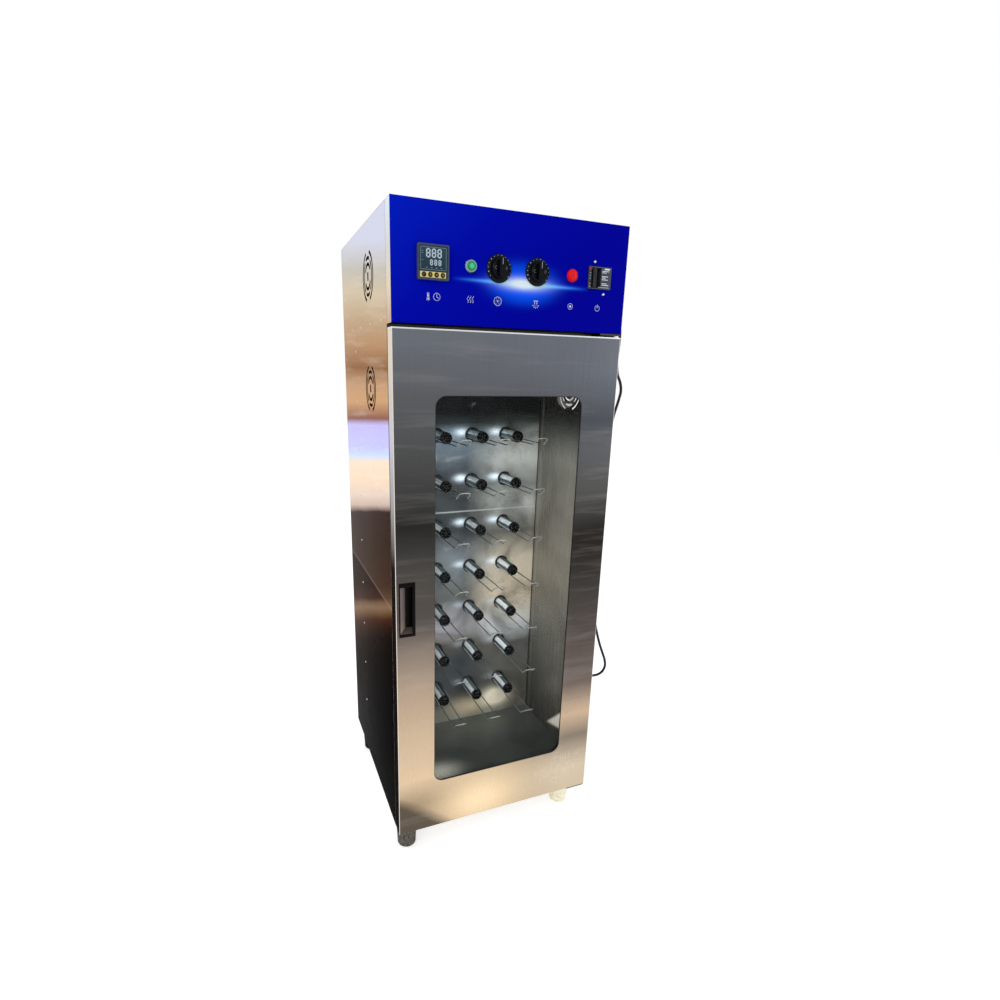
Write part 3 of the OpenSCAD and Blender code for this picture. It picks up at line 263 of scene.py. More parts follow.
def door_tone(look):
    """Painted reflection: cool at the top, dark in the middle and warm low down, brighter sooner
    on the left.
    """
    z = level(look, 1.8, (1.2, 1.0, 3.5), 0.06)
    left = bands(look, z, 0.0, DOOR_TOP, [
        (0.08, (150, 130, 106)), (0.17, (214, 188, 155)), (0.41, (174, 152, 129)),
        (0.55, (130, 117, 106)), (0.63, (80, 73, 69)), (0.77, (70, 67, 63)),
        (0.89, (38, 37, 36)), (1.04, (70, 70, 69)), (1.20, (88, 90, 92)),
        (1.32, (104, 109, 116))])
    right = bands(look, z, 0.0, DOOR_TOP, [
        (0.08, (200, 182, 156)), (0.19, (130, 118, 104)), (0.27, (190, 165, 138)),
        (0.37, (106, 94, 88)), (0.51, (82, 74, 70)), (0.67, (60, 56, 53)),
        (0.83, (34, 31, 28)), (0.95, (78, 77, 75)), (1.06, (86, 87, 90)),
        (1.14, (70, 73, 78)), (1.26, (98, 101, 108))])
    tone = look.mix(look.span(look.axis("X"), -0.22, 0.22), left, right)

    # a painted reflection low down, a painted shadow in the corner beside it, fine scratches
    # painted as catching the light, and a darker painted patch in the reflection at the top
    tone = look.mix(spot(look, -0.06, 0.05, 0.13, 0.09), tone, rgb(244, 218, 178))
    shadow_corner = look.plus(z, look.times(look.axis("X"), 0.74))
    tone = look.mix(look.span(shadow_corner, -0.100, -0.138, 0.0, 0.92), tone, rgb(84, 75, 66))
    scratch = look.math("MAXIMUM", look.noise(1.0, (900, 900, 24), 2),
                        look.noise(1.0, (24, 24, 900), 2))
    scratches_and_glint = look.times(spot(look, 0.21, 0.09, 0.085, 0.055),
                      look.span(scratch, 0.52, 0.68, 0.0, 0.4))
    tone = look.mix(scratches_and_glint, tone, rgb(250, 244, 232))
    tone = look.mix(spot(look, 0.02, 1.27, 0.16, 0.05, 0.5), tone, rgb(96, 99, 106))
    # pale streaks, painted into the reflection
    reflection_streak = look.noise(1.0, (2.6, 1, 34), 4, 0.6, 0.3, (5, 0, 1))
    tone = look.mix(look.span(reflection_streak, 0.52, 0.78, 0.0, 0.12), tone, rgb(190, 184, 178))

    # the folded sides in their own painted reflection bands, and painted highlights along the side
    # and top edges
    line_width = 0.0016
    rim = bands(look, z, 0.0, DOOR_TOP, [
        (0.06, (30, 28, 26)), (0.5, (58, 46, 42)), (0.78, (76, 72, 70)), (0.94, (166, 164, 164)),
        (1.08, (198, 196, 204)), (1.3, (230, 220, 204))])
    tone = look.mix(look.above(look.size(look.facing("X")), 0.7), tone, rim)
    edge = look.above(look.size(look.axis("X")), BODY_HALF - line_width)
    edge = look.times(edge, look.below(look.facing("Y"), -0.2))
    tone = look.mix(look.times(edge, 0.85), tone, rgb(232, 220, 212))
    edge = look.math("MAXIMUM", look.above(look.facing("Z"), 0.3),
                     look.above(look.axis("Z"), DOOR_TOP - line_width))
    return look.mix(look.times(edge, 0.8), tone, rgb(232, 234, 236))


def vent_lips(look):
    """The rolled lips of the vent slots, which lie in their own shadow."""
    z = look.axis("Z")
    dy = look.size(look.minus(look.axis("Y"), VENT_Y))
    dz = look.math("MINIMUM", *[look.size(look.minus(z, at)) for at in VENT_HEIGHTS])
    r = look.math("SQRT", look.plus(look.times(dy, dy), look.times(dz, dz)))
    lips = None
    # each ring's radius, and the axis and sine beyond which it is cut away
    for radius, away, limit in ((0.0566, dz, 0.95), (0.04245, dz, 0.78), (0.04245, dy, 0.43),
                                (0.0283, dy, 0.90)):
        ring = look.below(look.size(look.minus(r, radius)), 0.0040)
        ring = look.times(ring, look.below(look.over(away, r), limit))
        lips = look.math("MAXIMUM", lips, ring) if lips else ring
    centre = look.times(look.below(dy, 0.0065), look.below(dz, 0.0098))
    return look.math("MAXIMUM", lips, centre)


def side_tone(look):
    """Painted reflection bands that fan out towards the front, over a step at two fifths of the
    height drawn in painted shade.
    """
    spread_from, step_at = 1.244, 0.662
    y, height = look.axis("Y"), look.axis("Z")
    fan = look.plus(look.times(y, 0.6), 1.0)
    z = look.minus(spread_from, level(look, 1.3, (0.5, 0.5, 5.0), 0.016))
    z = look.minus(spread_from, look.over(z, fan))
    tone = bands(look, z, 0.0, BODY_TOP, [
        (0.02, (4, 4, 4)), (0.08, (6, 5, 5)), (0.19, (20, 16, 14)), (0.40, (48, 39, 34)),
        (0.465, (64, 52, 47)), (0.53, (94, 77, 67)), (0.57, (142, 119, 102)),
        (0.60, (110, 95, 86)), (0.64, (97, 86, 80)), (0.77, (93, 86, 82)), (0.865, (96, 88, 86)),
        (0.885, (206, 186, 172)), (0.915, (228, 208, 194)), (0.97, (246, 220, 194)),
        (1.012, (244, 222, 202)), (1.026, (206, 222, 246)), (1.05, (202, 202, 247)),
        (1.112, (206, 198, 244)), (1.128, (160, 122, 112)), (1.175, (218, 177, 140)),
        (1.22, (208, 172, 142)), (1.26, (164, 128, 102)), (1.32, (198, 162, 132)),
        (1.38, (204, 180, 152)), (1.45, (220, 206, 182)), (1.50, (208, 203, 192)),
        (1.575, (220, 223, 240))])

    # painted reflection streaks along the bands of the upper part
    flow = look.node("CombineXYZ", X=look.times(y, 3.0), Z=look.times(z, 52.0)).outputs[0]
    reflection_streak = look.node("TexNoise", Vector=flow, Scale=1.0, Detail=4.0, Roughness=0.6).outputs["Fac"]
    reflection_streak = look.times(look.span(reflection_streak, 0.5, 0.75, 0.0, 0.22), look.span(z, 0.88, 0.92))
    tone = look.mix(reflection_streak, tone, rgb(250, 238, 226))

    # painted shade below the step, with a painted highlight along the crease at its top
    step = look.times(look.span(height, step_at - 0.007, step_at + 0.006, 0.30, 0.0),
                      look.span(z, 0.585, 0.60))
    tone = look.mix(step, tone, rgb(20, 15, 13))
    crease = line_at(look, height, step_at, 0.003)
    tone = look.mix(look.times(crease, 0.3), tone, rgb(178, 156, 146))

    # the front fold gets a painted highlight, and the slots and their lips painted shade
    tone = look.mix(look.below(look.facing("Y"), -0.4), tone, rgb(214, 196, 174))
    slot = look.below(look.size(look.facing("X")), 0.5)
    dark = look.times(slot, look.above(look.facing("Y"), -0.4))
    dark = look.math("MAXIMUM", dark, vent_lips(look))
    return look.mix(look.times(dark, 0.96), tone, rgb(12, 11, 11))


def inner_side_tone(look):
    """The chamber's side wall: dull grey, painted lighter half way up and in painted shade at the
    top, with a patch of daylight.
    """
    z = level(look, 2.0, (1, 1, 1.5), 0.10)
    tone = bands(look, z, 0.0, CHAMBER_TOP, [
        (0.06, (66, 66, 60)), (0.35, (98, 97, 90)), (0.75, (128, 124, 113)),
        (0.99, (132, 132, 124)), (1.06, (98, 100, 94)), (1.12, (44, 48, 44)),
        (1.16, (18, 21, 18))])
    cloud = look.noise(2.6, (1, 1, 1), 4, 0.55, 1.0)
    tone = look.mix(look.span(cloud, 0.38, 0.66, 0.0, 0.55), tone, rgb(66, 62, 56))
    y = look.axis("Y")
    # painted shade in the corner by the back wall, and a faint painted highlight along a fold
    tone = look.mix(line_at(look, y, 0.114, 0.006), tone, rgb(20, 21, 20))
    fold = line_at(look, y, 0.092, 0.005)
    tone = look.mix(look.times(fold, 0.15), tone, rgb(176, 172, 160))
    # daylight low in front, between two slanting lines
    lit = None
    for slope, limit, way in ((1.0, 0.033, -1), (0.3, 0.0547, 1)):
        line = look.plus(look.axis("Z"), look.times(y, slope))
        part = look.span(line, limit, limit + way * 0.012)
        lit = look.times(lit, part) if lit else part
    tone = look.mix(lit, tone, rgb(255, 250, 236))
    # painted shade on the lips of the vent slots
    return look.mix(look.times(vent_lips(look), 0.9), tone, rgb(44, 44, 38))


def wall_tone(look):
    """Rolled sheet in painted reflection bands, darker and cooler to the left and in painted shade
    at the top, with a painted glow above the left of each nozzle, where its tube reflects.
    """
    z = level(look, 2.6, (1, 1, 2.0), 0.06)
    left = bands(look, z, 0.0, CHAMBER_TOP, [
        (0.05, (126, 126, 118)), (0.14, (62, 66, 66)), (0.34, (54, 60, 62)),
        (0.40, (134, 138, 146)), (0.52, (74, 76, 74)), (0.65, (92, 100, 104)),
        (0.75, (44, 48, 50)), (0.88, (58, 62, 64)), (0.98, (72, 80, 86)),
        (1.075, (104, 120, 130)), (1.10, (44, 50, 50)), (1.13, (18, 21, 21))])
    right = bands(look, z, 0.0, CHAMBER_TOP, [
        (0.05, (120, 115, 103)), (0.20, (98, 97, 90)), (0.32, (92, 92, 88)),
        (0.38, (188, 194, 194)), (0.50, (196, 185, 162)), (0.64, (182, 174, 155)),
        (0.73, (96, 94, 88)), (0.83, (168, 172, 166)), (0.90, (118, 123, 118)),
        (0.98, (184, 188, 182)), (1.07, (136, 141, 137)), (1.10, (60, 66, 62)),
        (1.13, (18, 21, 20))])
    tone = look.mix(look.span(look.axis("X"), 0.04, 0.20), left, right)
    cloud = look.noise(5.0, (1, 1, 1), 5, 0.6, 1.2)
    tone = look.mix(look.span(cloud, 0.30, 0.52, 0.65, 0.0), tone, rgb(34, 38, 38))
    tone = look.mix(look.span(cloud, 0.58, 0.80, 0.0, 0.55), tone, rgb(190, 194, 190))
    warm = look.noise(2.2, (1, 1, 1), 3, 0.5, 0.8, (3, 1, 2))
    tone = look.mix(look.span(warm, 0.55, 0.75, 0.0, 0.45), tone, rgb(130, 108, 86))

    # patches of daylight behind the lowest row, and a painted highlight along the wall's seam
    tone = look.mix(spot(look, 0.075, 0.088, 0.075, 0.036, 0.95), tone, rgb(206, 192, 158))
    core = look.times(spot(look, 0.172, 0.106, 0.044, 0.030), 2.2, True)
    tone = look.mix(core, tone, rgb(255, 246, 220))
    seam = line_at(look, look.axis("Z"), 0.817, 0.0022)
    tone = look.mix(look.times(seam, 0.6), tone, rgb(176, 180, 176))

    # the painted glow, a reflection of each tube, repeats with the nozzles and is stronger higher
    # up
    to_left, above = 0.034, 0.008
    across = look.math("PINGPONG", look.plus(look.axis("X"), to_left - NOZZLE_X), NOZZLE_PITCH / 2)
    up = look.math("PINGPONG", look.minus(look.axis("Z"), ROW_Z + above), ROW_PITCH / 2)
    glow = look.times(bell(look, look.over(across, 0.021)), bell(look, look.over(up, 0.0105)))
    glow = look.times(glow, look.span(look.axis("Z"), 0.45, 0.95, 0.15, 1.0))
    glow = look.times(glow, look.below(look.axis("X"), 0.205))
    glow = look.times(glow, look.below(look.axis("Z"), 1.13))
    return look.mix(glow, tone, rgb(222, 240, 250))


def pan_tone(look):
    """Dull grey, lighter towards the wall, with a patch of daylight in front on the left."""
    tone = look.ramp(look.noise(2.6, (1, 1, 1), 4, 0.55, 1.0),
                     [(0.3, rgb(38, 43, 40)), (0.7, rgb(68, 72, 68))])
    back = look.span(look.axis("Y"), -0.08, 0.11, 0.0, 0.6)
    tone = look.mix(back, tone, rgb(112, 114, 108))
    patch = look.times(line_at(look, look.axis("X"), -0.135, 0.065),
                       line_at(look, look.axis("Y"), -0.132, 0.038))
    return look.mix(patch, tone, rgb(186, 186, 172))


def tube_tone(look):
    """Painted light and shade by facing: a painted highlight along the top of each dark tube; the
    wires in front are darker, painted lighter on top and at the tips.
    """
    # how far the surface faces up and to the left, towards the painted light
    up = look.minus(look.times(look.facing("Z"), 0.66), look.times(look.facing("X"), 0.75))
    up = look.plus(up, look.times(look.minus(look.noise(45), 0.5), 0.12))
    up = look.span(up, -1.0, 1.0)
    tube = look.ramp(up, [
        (0.50, rgb(18, 20, 20)), (0.70, rgb(40, 46, 48)), (0.82, rgb(130, 144, 148)),
        (0.88, rgb(58, 72, 76)), (0.945, rgb(110, 126, 132)), (0.98, rgb(246, 251, 252))])
    wire = look.ramp(up, [(0.30, rgb(10, 11, 11)), (0.72, rgb(32, 34, 33)),
                          (0.94, rgb(104, 107, 104))])
    y = look.axis("Y")
    wire = look.mix(look.below(y, -0.102), wire, rgb(118, 120, 114))
    return look.mix(look.below(y, 0.020), tube, wire)


def foot_tone(look):
    """Cast feet: front left in painted shadow, front right painted as against the light, the rear
    ones in painted shade, near black.
    """
    speck = look.noise(160, (1, 1, 1), 5, 0.7)
    # painted shadow for the front left foot, painted light for the front right
    shadowed_foot = look.ramp(speck, [(0.35, rgb(34, 32, 30)), (0.62, rgb(118, 112, 104))])
    lit = look.ramp(speck, [(0.30, rgb(214, 202, 168)), (0.55, rgb(255, 249, 224))])
    tone = look.mix(look.span(look.axis("X"), -0.1, 0.1), shadowed_foot, lit)
    return look.mix(look.span(look.axis("Y"), -0.1, 0.1), tone, rgb(16, 15, 15))


def header_tone(look):
    """The folded underside lies in shadow; the left edge mirrors the sky."""
    tone = bands(look, look.axis("Z"), HEADER_LOW, BODY_TOP, [
        (1.36, (214, 190, 170)), (1.43, (236, 222, 200)), (1.51, (226, 226, 220)),
        (1.59, (232, 240, 250))])
    return look.mix(look.below(look.facing("Z"), -0.5), tone, rgb(18, 19, 22))


def heater_tone(look):
    return look.ramp(look.noise(9, warp=1.0), [(0.3, rgb(92, 74, 66)), (0.7, rgb(150, 140, 128))])


def make_sheet_metal():
    door = brushed("door_steel", door_tone, (600, 600, 8), 0.27, 0.00002, streak=0.025)
    paint(door, "door_shell")
    for side, inward in (("left", 1.0), ("right", -1.0)):
        def tone(look):
            inside = look.above(look.times(look.facing("X"), inward), 0.7)
            return look.mix(inside, side_tone(look), inner_side_tone(look))

        steel = brushed(side + "_steel", tone, (500, 500, 7), 0.24, 0.00002, streak=0.02)
        inside = steel.times(steel.facing("X"), inward)
        steel.set("Metallic", steel.span(inside, 0.7, 0.9, 1.0, 0.25))
        paint(steel, side + "_side_panel")
    paint(brushed("plain_steel", rgb(196, 192, 186), (9, 700, 700), 0.26), "top_panel", "base_pan")
    paint(brushed("header_steel", header_tone, (9, 700, 700), 0.26), "header_box")
    # the frame, door liner and hinge brackets are painted dark: painted shade for the gaps they
    # show in
    shade = brushed("shaded_frame_steel", rgb(74, 72, 70), (700, 700, 9), 0.3)
    paint(shade, "front_frame", "door_liner", "hinge_brackets")
    wall = brushed("wall_steel", wall_tone, (260, 260, 260), 0.25, metal=0.2,
                   Specular_IOR_Level=0.3)
    paint(wall, "nozzle_wall")
    pan = brushed("chamber_steel", pan_tone, (260, 260, 260), 0.26, metal=0.25)
    paint(pan, "chamber_floor", "chamber_ceiling")
    tube = brushed("tube_steel", tube_tone, (500, 16, 500), 0.25, 0.00002, metal=0.4,
                   Specular_IOR_Level=0.2)
    paint(tube, *["hanger_row_%d" % r for r in range(1, 8)])
    bright = brushed("fastener_steel", rgb(206, 206, 204), (400, 400, 400), 0.3)
    paint(bright, "side_rivets", "service_screws", "temperature_probe")
    paint(brushed("foot_steel", foot_tone, (300, 300, 300), 0.4, 0.0001, metal=0.6), "feet")
    paint(brushed("heater_steel", heater_tone, (60, 60, 60), 0.45), "heater_coil")

    zinc = Look("zinc_sheet", rgb(180, 184, 186), 0.42, 1.0)
    spangle = zinc.node("TexVoronoi", Vector=zinc.place(), Scale=120.0).outputs["Color"]
    zinc.set("Base Color", zinc.mix(1.0, rgb(188, 191, 192),
                                    zinc.ramp(spangle, [(0.2, 0.88), (0.8, 1.0)]), "MULTIPLY"))
    zinc.bump(zinc.noise(180, detail=2), 0.1)
    paint(zinc, "back_panel", "glass_clips", "mounting_rail")

    chrome = Look("chrome", rgb(150, 172, 172), 0.14, 1.0)
    # painted reflection: lighter where the chrome faces up, darker where it faces down
    up = chrome.span(chrome.facing("Z"), -0.8, 0.8)
    chrome.set("Base Color", chrome.mix(up, rgb(62, 100, 102), rgb(176, 204, 200)))
    chrome.set("Roughness", chrome.span(chrome.noise(120), 0.3, 0.7, 0.08, 0.2))
    paint(chrome, "heat_button_body")


def moulded(name, color, rough, specular, patch, shine, grain, *names):
    """A dark moulding, glossier in patches.

    A patch has a scale and detail, shine is the range of roughness, and the grain of fine bumps
    has a scale, strength and depth.
    """
    look = Look(name, color, rough, Specular_IOR_Level=specular)
    patches = look.noise(patch[0], detail=patch[1])
    look.set("Roughness", look.span(patches, 0.3, 0.7, *shine))
    look.bump(look.noise(grain[0], detail=2), *grain[1:])
    paint(look, *names)
    return look


def mottled(name, color, rough, scale, tones, grain, *names, **sockets):
    """A plastic that varies between two tones; the grain has a scale, detail, strength, depth."""
    look = Look(name, color, rough, **sockets)
    look.set("Base Color", look.mix(look.noise(scale), *[rgb(*tone) for tone in tones]))
    look.bump(look.noise(grain[0], detail=grain[1]), *grain[2:])
    paint(look, *names)


def pull_tone(look):
    """Black with brown smears, a beige inner side in painted light, and sloping ends in painted
    light and shade.
    """
    tone = look.mix(look.span(look.noise(9, (1, 1, 0.5), 3), 0.4, 0.75), rgb(5, 4, 4),
                    rgb(22, 14, 13))
    # painted light on the inner side, which faces right and forward
    lit = look.times(look.above(look.facing("X"), 0.25), look.below(look.facing("Y"), -0.25))
    beige = look.ramp(look.span(look.axis("Z"), 0.53, 0.66), [
        (0.1, rgb(226, 208, 172)), (0.4, rgb(196, 178, 152)), (0.9, rgb(142, 128, 122))])
    tone = look.mix(lit, tone, beige)
    # painted light on the ends that face up, painted shade on those that face down
    slope = look.times(look.above(look.size(look.facing("Z")), 0.3),
                       look.below(look.facing("Y"), -0.2))
    dim = look.mix(look.span(look.facing("Z"), -0.1, 0.1), rgb(48, 34, 32), rgb(104, 88, 80))
    return look.mix(look.times(slope, 0.8), tone, dim)


def make_mouldings():
    """The plastics and rubbers; gives the rubber, which the cord has too."""
    moulded("cap_moulding", rgb(9, 10, 10), 0.5, 0.08, (60, 5), (0.4, 0.6), (900, 0.12, 0.00008),
            "nozzle_caps")
    moulded("black_moulding", rgb(14, 14, 15), 0.3, 0.3, (40, 6), (0.24, 0.44),
            (1500, 0.12, 0.00008), "breaker_toggle", "coil_tie", "mains_plug", "cable_gland",
            *["controller_key_%d" % k for k in range(1, 5)])
    moulded("knob_moulding", rgb(6, 8, 13), 0.24, 0.10, (70, 5), (0.16, 0.34),
            (900, 0.08, 0.00006), "timer_knob_1", "timer_knob_2")
    mottled("nylon", rgb(216, 212, 200), 0.5, 14, ((206, 202, 190), (226, 223, 214)),
            (800, 2, 0.1, 0.0001), "hinge_bushes", "timer_movements", "uv_lamp_holder",
            "contactor", "terminal_block")
    mottled("grey_moulding", rgb(58, 66, 88), 0.42, 22, ((48, 56, 78), (74, 84, 104)),
            (1100, 2, 0.15, 0.0001), "controller_case", Specular_IOR_Level=0.15)
    mottled("breaker_moulding", rgb(58, 60, 62), 0.4, 40, ((28, 33, 42), (56, 62, 72)),
            (1100, 2, 0.15, 0.0001), "breaker_case")
    mottled("fan_plastic", rgb(26, 27, 28), 0.5, 16, ((20, 21, 22), (38, 39, 40)),
            (500, 3, 0.2, 0.0002), "fan_frame", "fan_impeller")
    pull = Look("pull_moulding", rgb(8, 7, 7), 0.4, Specular_IOR_Level=0.06)
    pull.set("Base Color", pull_tone(pull))
    pull.bump(pull.noise(1200, detail=2), 0.15, 0.0001)
    paint(pull, "handle_cup")
    return moulded("rubber", rgb(22, 22, 23), 0.62, 0.35, (60, 4), (0.5, 0.72),
                   (700, 0.2, 0.0001), "glass_gasket", "door_seal", "nozzle_grommets")


def overlay_tone(look):
    """Deep blue, lighter at the left, with a flare of light below the knobs."""
    x, z = look.axis("X"), look.axis("Z")
    fall = look.plus(look.span(x, -0.3, 0.3, 0.0, 0.7), look.span(z, 1.60, HEADER_LOW, 0.0, 0.3))
    tone = look.ramp(fall, [(0.0, rgb(2, 28, 188)), (0.3, rgb(1, 10, 166)),
                            (0.65, rgb(1, 3, 152)), (1.0, rgb(2, 3, 150))])
    tone = look.mix(look.below(z, HEADER_LOW + 0.0058), tone, rgb(1, 2, 40))

    # the flare: distances from its middle, and how much of its reach is left
    dx, dz = look.minus(x, 0.017), look.minus(z, 1.454)
    reach = look.minus(1.0, look.times(look.size(dx), 5.6), clamp=True)
    reach_2 = look.math("POWER", reach, 2.0)

    def oval(wide, high):
        u, v = look.over(dx, wide), look.over(dz, high)
        return look.plus(look.times(u, u), look.times(v, v))

    tone = look.mix(bell(look, oval(0.085, 0.042)), tone, rgb(8, 88, 255))
    for thick, power, color in ((0.0040, look.times(reach, 1.9, True), rgb(16, 104, 255)),
                                (0.0018, look.times(reach_2, 2.2, True), rgb(120, 206, 255))):
        thick = look.plus(look.times(reach_2, 0.006), thick)
        line = look.times(bell(look, look.over(dz, thick)), power)
        tone = look.mix(line, tone, color)
    core = look.times(fade(look, oval(0.050, 0.0115)), 1.25, True)
    return look.mix(core, tone, rgb(232, 246, 255))


def make_films_and_glass():
    blue = Look("blue_film", rgb(4, 10, 168), 0.45, Specular_IOR_Level=0.012)
    blue.set("Base Color", overlay_tone(blue))
    blue.bump(blue.noise(900, detail=2), 0.05, 0.00005)
    paint(blue, "header_overlay")
    film = Look("display_film", rgb(10, 34, 44), 0.2, Specular_IOR_Level=0.15)
    film.set("Base Color", film.mix(film.span(film.axis("Z"), 1.447, 1.517), rgb(22, 44, 54),
                                    rgb(40, 66, 76)))
    paint(film, "controller_film")

    glass = Look("door_glass", (0.01, 0.015, 0.015, 1), 0.03, Alpha=0.05, Specular_IOR_Level=0.5)
    glass.set("Roughness", glass.span(glass.noise(5, detail=5), 0.4, 0.8, 0.02, 0.06))
    paint(glass, "door_glass")
    lamp = Look("lamp_glass", (0.3, 0.3, 0.3, 1), 0.08, Alpha=0.30)
    lamp.set("Base Color", lamp.mix(lamp.noise(30), (0.10, 0.11, 0.10, 1), (0.30, 0.31, 0.30, 1)))
    paint(lamp, "uv_lamp_tube")

    green = Look("green_lens", rgb(16, 150, 88), 0.2, Specular_IOR_Level=0.2)
    dx = green.minus(green.axis("X"), (BUTTON_X + SHIFT[0]) / 1000)
    dz = green.minus(green.axis("Z"), CONTROL_Z / 1000)
    # painted highlight: lighter in the middle of the lens, darker towards its rim
    from_middle = green.span(green.plus(green.times(dx, dx), green.times(dz, dz)), 0.0, 0.0001)
    green.set("Base Color", green.ramp(from_middle, [
        (0.0, rgb(90, 206, 142)), (0.5, rgb(22, 158, 96)), (1.0, rgb(8, 112, 74))]))
    paint(green, "heat_button_cap")
    red = Look("red_lens", rgb(226, 10, 24), 0.2, Specular_IOR_Level=0.15)
    red.set("Base Color", red.ramp(red.noise(60, detail=3), [
        (0.3, rgb(214, 4, 18)), (0.7, rgb(240, 22, 34))]))
    paint(red, "pilot_lamp")


make_sheet_metal()
rubber = make_mouldings()
make_films_and_glass()

# Mains cord

EXIT = (0.320, -0.200, 1.402 + FOOT)
CORD_D = 0.0076
# in millimetres: x and y from the gland's mouth, and height above the floor
WAY = [(0, 0, 1504), (10, 0, 1503.5), (25, 0, 1498), (36, 0, 1487), (41, 0, 1471), (41, 0, 1439),
       (39, 0, 1394), (44, 0, 1360), (55, 0, 1338), (60, 0, 1316), (56, 0, 1292), (38, 0, 1226),
       (25, 0, 1134), (20, 2, 984), (20, 2, 814), (24, 1, 704), (38, 0, 612), (58, 0, 544),
       (77, 0, 497), (86.5, 0.5, 474), (91, 2, 451), (86, 5, 432), (73, 9, 420), (53, 14, 416),
       (33, 22, 415), (18, 31, 407), (7, 39, 391), (3, 46, 364), (2, 60, 285), (3, 76, 165),
       (4, 84, 95), (4, 88, 46), (5, 91, 30), (6, 99.5, 17), (7, 112.5, 8.3)]
FLOOR_WAY = [(8, 130), (11, 185), (8, 255), (-1, 345)]
COIL_AT, COIL_Z, COIL_R, COIL_PITCH, LOOPS = (0.370, 0.232), 0.0051, 0.053, 0.0086, 2


def smooth_line(points, steps):
    """Points of a Catmull-Rom curve."""
    line = []
    for i in range(len(points) - 1):
        a, b = points[max(i - 1, 0)], points[i]
        c, d = points[i + 1], points[min(i + 2, len(points) - 1)]
        for k in range(steps):
            t = k / steps
            line.append((2 * b + (c - a) * t + (2 * a - 5 * b + 4 * c - d) * t * t
                         + (3 * b - a - 3 * c + d) * t ** 3) / 2)
    return line + [points[-1]]


def coil_points(per_turn):
    """Turns that wind inwards on the floor, climb a layer and wind outwards again."""
    turns, back = 2 * LOOPS + 0.5, LOOPS + 0.25
    points = []
    for k in range(int(per_turn * turns) + 1):
        t = k / per_turn
        r = COIL_R - COIL_PITCH * (t if t < back else 2 * back - t)
        climb = min(max((t - LOOPS) / 0.5, 0), 1)
        a = math.pi * (1 - 2 * t)
        points.append(Vector((COIL_AT[0] + r * math.cos(a), COIL_AT[1] + r * math.sin(a),
                              COIL_Z + COIL_PITCH * climb * climb * (3 - 2 * climb))))
    return points


def make_cord():
    hang = [Vector((EXIT[0] + x / 1000, EXIT[1] + y / 1000, z / 1000)) for x, y, z in WAY]
    hang += [Vector((EXIT[0] + x / 1000, EXIT[1] + y / 1000, COIL_Z)) for x, y in FLOOR_WAY]
    hang.append(Vector((COIL_AT[0] - COIL_R, COIL_AT[1] - CORD_D, COIL_Z)))
    line = smooth_line(hang, 8) + coil_points(48)
    line.append(Vector((COIL_AT[0] + COIL_R, COIL_AT[1] - CORD_D, COIL_Z + COIL_PITCH)))
    data = bpy.data.curves.new("power_cord", "CURVE")
    data.dimensions, data.bevel_depth, data.bevel_resolution = "3D", CORD_D / 2, 4
    data.use_fill_caps = True
    spline = data.splines.new("POLY")
    spline.points.add(len(line) - 1)
    for p, at in zip(spline.points, line):
        p.co = (*at, 1)
    spline.use_smooth = True
    data.materials.append(rubber.material)
    cord = bpy.data.objects.new("power_cord", data)
    scene.collection.objects.link(cord)
    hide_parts("mains_cord", "cord_coil")
    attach(cord, "cabinet")


make_cord()

# Printed marks

def mesh_piece(name, points, faces, look, body):
    data = bpy.data.meshes.new(name)
    data.from_pydata([tuple(p) for p in points], [], faces)
    data.update()
    piece = bpy.data.objects.new(name, data)
    scene.collection.objects.link(piece)
    data.materials.append(look.material)
    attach(piece, body)
    return piece


class Marks:
    """Flat printed shapes in the cabinet's x-z plane, a little thick towards the viewer."""

    def __init__(self, y, thick=0.15):
        self.y, self.thick, self.points, self.faces = y, thick, [], []

    def shape(self, outline):
        n, o = len(outline), len(self.points)
        for y in (self.y - self.thick, self.y):
            self.points += [cab(x, y, z) for x, z in outline]
        self.faces.append(list(range(o, o + n)))
        self.faces += [[o + k, o + n + k, o + n + (k + 1) % n, o + (k + 1) % n]
                       for k in range(n)]

    def bar(self, x, z, w, h):
        left, right, low, high = x - w / 2, x + w / 2, z - h / 2, z + h / 2
        self.shape([(left, low), (right, low), (right, high), (left, high)])

    def disc(self, x, z, r, sides=24):
        turns = [a * math.tau / sides for a in range(sides)]
        self.shape([(x + r * math.cos(a), z + r * math.sin(a)) for a in turns])

    def stroke(self, line, w):
        for a, b in zip(line, line[1:]):
            a, b = Vector(a), Vector(b)
            t = (b - a).normalized() * (w / 2)
            n = Vector((-t.y, t.x))
            a, b = a - t * 0.5, b + t * 0.5
            self.shape([tuple(a - n), tuple(b - n), tuple(b + n), tuple(a + n)])

    def ring(self, x, z, r, w, start=0, end=360):
        """A circle or an arc, from one angle in degrees to another."""
        count = max(3, int(28 * abs(end - start) / 360))
        turns = [math.radians(start + (end - start) * k / count) for k in range(count + 1)]
        self.stroke([(x + r * math.cos(a), z + r * math.sin(a)) for a in turns], w)

    def make(self, name, look, body):
        return mesh_piece(name, self.points, self.faces, look, body)


def eights(marks, count, x, z, h, pitch, w):
    """A row of seven-segment eights with its middle at x, z."""
    half, wide = h / 2, h * 0.46
    lying, upright = (wide - w * 0.4, w), (w, half - w * 0.4)
    for k in range(count):
        cx = x + (k - (count - 1) / 2) * pitch
        for dz in (half, 0, -half):
            marks.bar(cx, z + dz, *lying)
        for dx in (-wide / 2, wide / 2):
            for dz in (-half / 2, half / 2):
                marks.bar(cx + dx, z + dz, *upright)


